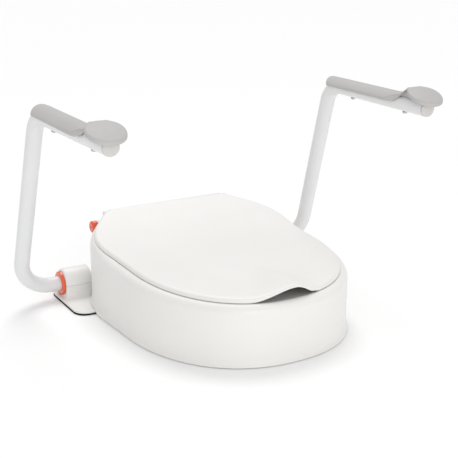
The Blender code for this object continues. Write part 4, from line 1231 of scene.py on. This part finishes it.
def fillet(distance, radius):
    inner = np.clip(radius - np.maximum(distance, 0.0), 0, radius)
    return radius - np.sqrt(np.maximum(radius ** 2 - inner ** 2, 0.0))


widths = [round(half_width(y) / MM, 1) for y in (0.0, WAIST_Y)]
print("armrest half widths in mm, plank and waist:", widths)

# %% Armrest sections
def pad_stations():
    turn = np.radians
    rear = PAD_REAR_Y - PAD_HALF + PAD_HALF * np.cos(turn(np.linspace(4, 90, 16)))
    plank = np.linspace(PAD_REAR_Y - PAD_HALF, -0.086, 12)[1:]
    throat = np.linspace(-0.086, -0.152, 44)[1:]
    tip = DISC_Y + DISC_RADIUS * math.cos(DISC_TILT) * np.cos(turn(np.linspace(64, 176.5, 34)))
    rib_face = [RIB_FRONT_Y + 0.0001, RIB_FRONT_Y - 0.0001]
    return sorted(np.concatenate([rear, plank, throat, tip[tip < -0.1525], rib_face]), reverse=True)


def pad_ring(y):
    half = max(half_width(y), 0.0006)
    top, under = top_and_under(y)
    tube = ARM_POINTS[2][0] + (y - ARM_POINTS[2][1]) / (ARM_POINTS[3][1] - ARM_POINTS[2][1]) \
        * (ARM_POINTS[3][0] - ARM_POINTS[2][0]) - PAD_X
    x = half * np.sin(np.radians(np.linspace(-90, 90, 33)))
    reach = np.hypot(x, (y - DISC_Y) / math.cos(DISC_TILT)) / DISC_RADIUS
    dome = DISC_DOME * np.clip(1 - reach ** 2, 0, 1)
    arch = PAD_ARCH * float(smooth_step(WAIST_Y + 0.004, WAIST_Y + 0.042, y)) * (x / PAD_HALF) ** 2
    upper = np.column_stack([x, top + dome - arch - fillet(plan_distance(x, y), TOP_ROUND)])

    out = min(RIB_HALF + 0.0002, half * 0.60)
    side_share = np.sin(np.radians(np.linspace(90, 0, 14)))
    right = out + (half - out) * side_share + tube * (1 - side_share)
    left = -(out + (half - out) * side_share) + tube * (1 - side_share)
    rib = np.linspace(out - 0.0004 if out > 0.001 else out, -(out - 0.0004), 11) + tube
    x = np.concatenate([right, rib, left[::-1]])
    bore = TUBE_RADIUS + 0.0010
    saddle = ARM_POINTS[-1][2] + np.sqrt(np.maximum(bore ** 2 - (x - tube) ** 2, 0.0)) + 0.0001
    z = under + fillet(plan_distance(x, y), UNDER_ROUND)
    if y > RIB_FRONT_Y:
        z = np.where(np.abs(x - tube) < bore, np.maximum(z, saddle), z)
    in_rib = (np.arange(len(x)) >= 14) & (np.arange(len(x)) < 25)
    if y > RIB_FRONT_Y and half > PAD_HALF * 0.4:
        z = np.where(in_rib, saddle, z)
    lower = np.column_stack([x, z])[1:-1]
    ring = np.vstack([upper, lower])
    return np.column_stack([PAD_X + ring[:, 0], np.full(len(ring), y), ring[:, 1]])


for hand, side in SIDES.items():
    mesh = skin("armrest", mirrored([pad_ring(y) for y in pad_stations()], side), sharp=50)
    add_piece(mesh, f"{hand}_armrest", f"{hand}_arm", GREY, [f"{hand}_arm_pad"])

# %% [markdown]
# ## Screws
# Two screws come up through the tube into each armrest. Only their rounded heads show, with
# a hexagon socket. The cover screws below the bracket keep the frame's own shape.

# %% Armrest screws
def screw_head(x, y, top):
    radius, drop, socket, sides = 0.0042, 0.0030, 0.0017, 36
    angle = np.linspace(0, math.tau, sides, endpoint=False)
    hexagon = socket / np.cos((angle + math.pi / 6) % (math.pi / 3) - math.pi / 6)
    profile = [(0.0100, 0.0021), (0.0, 0.0021), (0.0, radius - 0.0002), (-0.0003, radius)]
    for t in np.radians((15, 35, 55, 75)):
        profile.append((-0.0003 - (drop - 0.0003) * math.sin(t), radius * (0.45 * math.cos(t) + 0.55)))
    profile += [(-drop, hexagon + 0.0002), (-drop + 0.0002, hexagon), (-drop + 0.0016, hexagon * 0.98)]
    return stacked("screw_head", profile, (x, y, top), "z", sides, sharp=45)


for hand, side in SIDES.items():
    for spot in ("rear", "front"):
        node = f"{hand}_pad_screw_{spot}"
        low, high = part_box(node)
        middle = (low + high) / 2
        mesh = screw_head(middle.x, middle.y, low.z + 0.0030)
        add_piece(mesh, f"{node}_head", f"{hand}_arm", STEEL, [node])

# %% [markdown]
# ## What keeps the frame's shape
# The cover screws below the bracket lie in their holes and their frame meshes are already
# right. They only need a finish in place of the plain one they came with.

# %% Finish the frame's own nodes
kept = []
for name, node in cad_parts.items():
    if node.hide_render:
        continue
    node.data.materials.clear()
    node.data.materials.append(zinc_steel)
    kept.append(name)
print("kept from the frame:", sorted(kept))

# %% [markdown]
# ## Studio
# White goods are shown on white. A pale floor, a bright even sky, a broad sun from behind
# and a large soft lamp in front leave only gentle shading and a soft shadow at the foot,
# which is what describes the form. Both lights are wide, because small ones would draw
# hard shadow edges.

# %% Floor, sky and lamps
FLOOR_REACH = 30.0
FLOOR_DROP = 0.0002
SKY_STRENGTH = 0.74
SUN_STRENGTH, SUN_WIDTH = 1.08, 35
SUN_SIDE = Vector((0.25, 0.55, 1.0))
LAMP_PLACE, LAMP_WIDTH, LAMP_POWER = Vector((-0.5, -3.0, 1.0)), 2.0, 25.0
LAMP_TARGET = Vector((0, 0, 0.12))

corners = [(x * FLOOR_REACH, y * FLOOR_REACH, 0) for x, y in ((-1, -1), (1, -1), (1, 1), (-1, 1))]
floor_mesh = bpy.data.meshes.new("studio_floor")
floor_mesh.from_pydata(corners, [], [(0, 1, 2, 3)])
floor = put("studio_floor", floor_mesh)
floor.location.z = -FLOOR_DROP
floor_look = bpy.data.materials.new("pale_floor")
floor_look.use_nodes = True
floor_shader = floor_look.node_tree.nodes["Principled BSDF"]
floor_shader.inputs["Base Color"].default_value = (0.95, 0.95, 0.95, 1)
floor_shader.inputs["Roughness"].default_value = 0.9
floor_shader.inputs["Specular IOR Level"].default_value = 0.1
floor_mesh.materials.append(floor_look)

world = bpy.data.worlds.new("bright_sky")
world.use_nodes = True
world.node_tree.nodes["Background"].inputs["Color"].default_value = (1.0, 1.0, 1.0, 1)
world.node_tree.nodes["Background"].inputs["Strength"].default_value = SKY_STRENGTH
bpy.context.scene.world = world
bpy.context.scene.view_settings.view_transform = "Standard"


lamp_data = bpy.data.lights.new("front_lamp", "AREA")
lamp_data.shape = "DISK"
lamp_data.size = LAMP_WIDTH
lamp_data.energy = LAMP_POWER
stand("front_lamp", lamp_data, LAMP_PLACE, LAMP_TARGET - LAMP_PLACE)
sun_data = bpy.data.lights.new("broad_sun", "SUN")
sun_data.energy = SUN_STRENGTH
sun_data.angle = math.radians(SUN_WIDTH)
stand("broad_sun", sun_data, (0, 0, 0), -SUN_SIDE)
print("stage set")
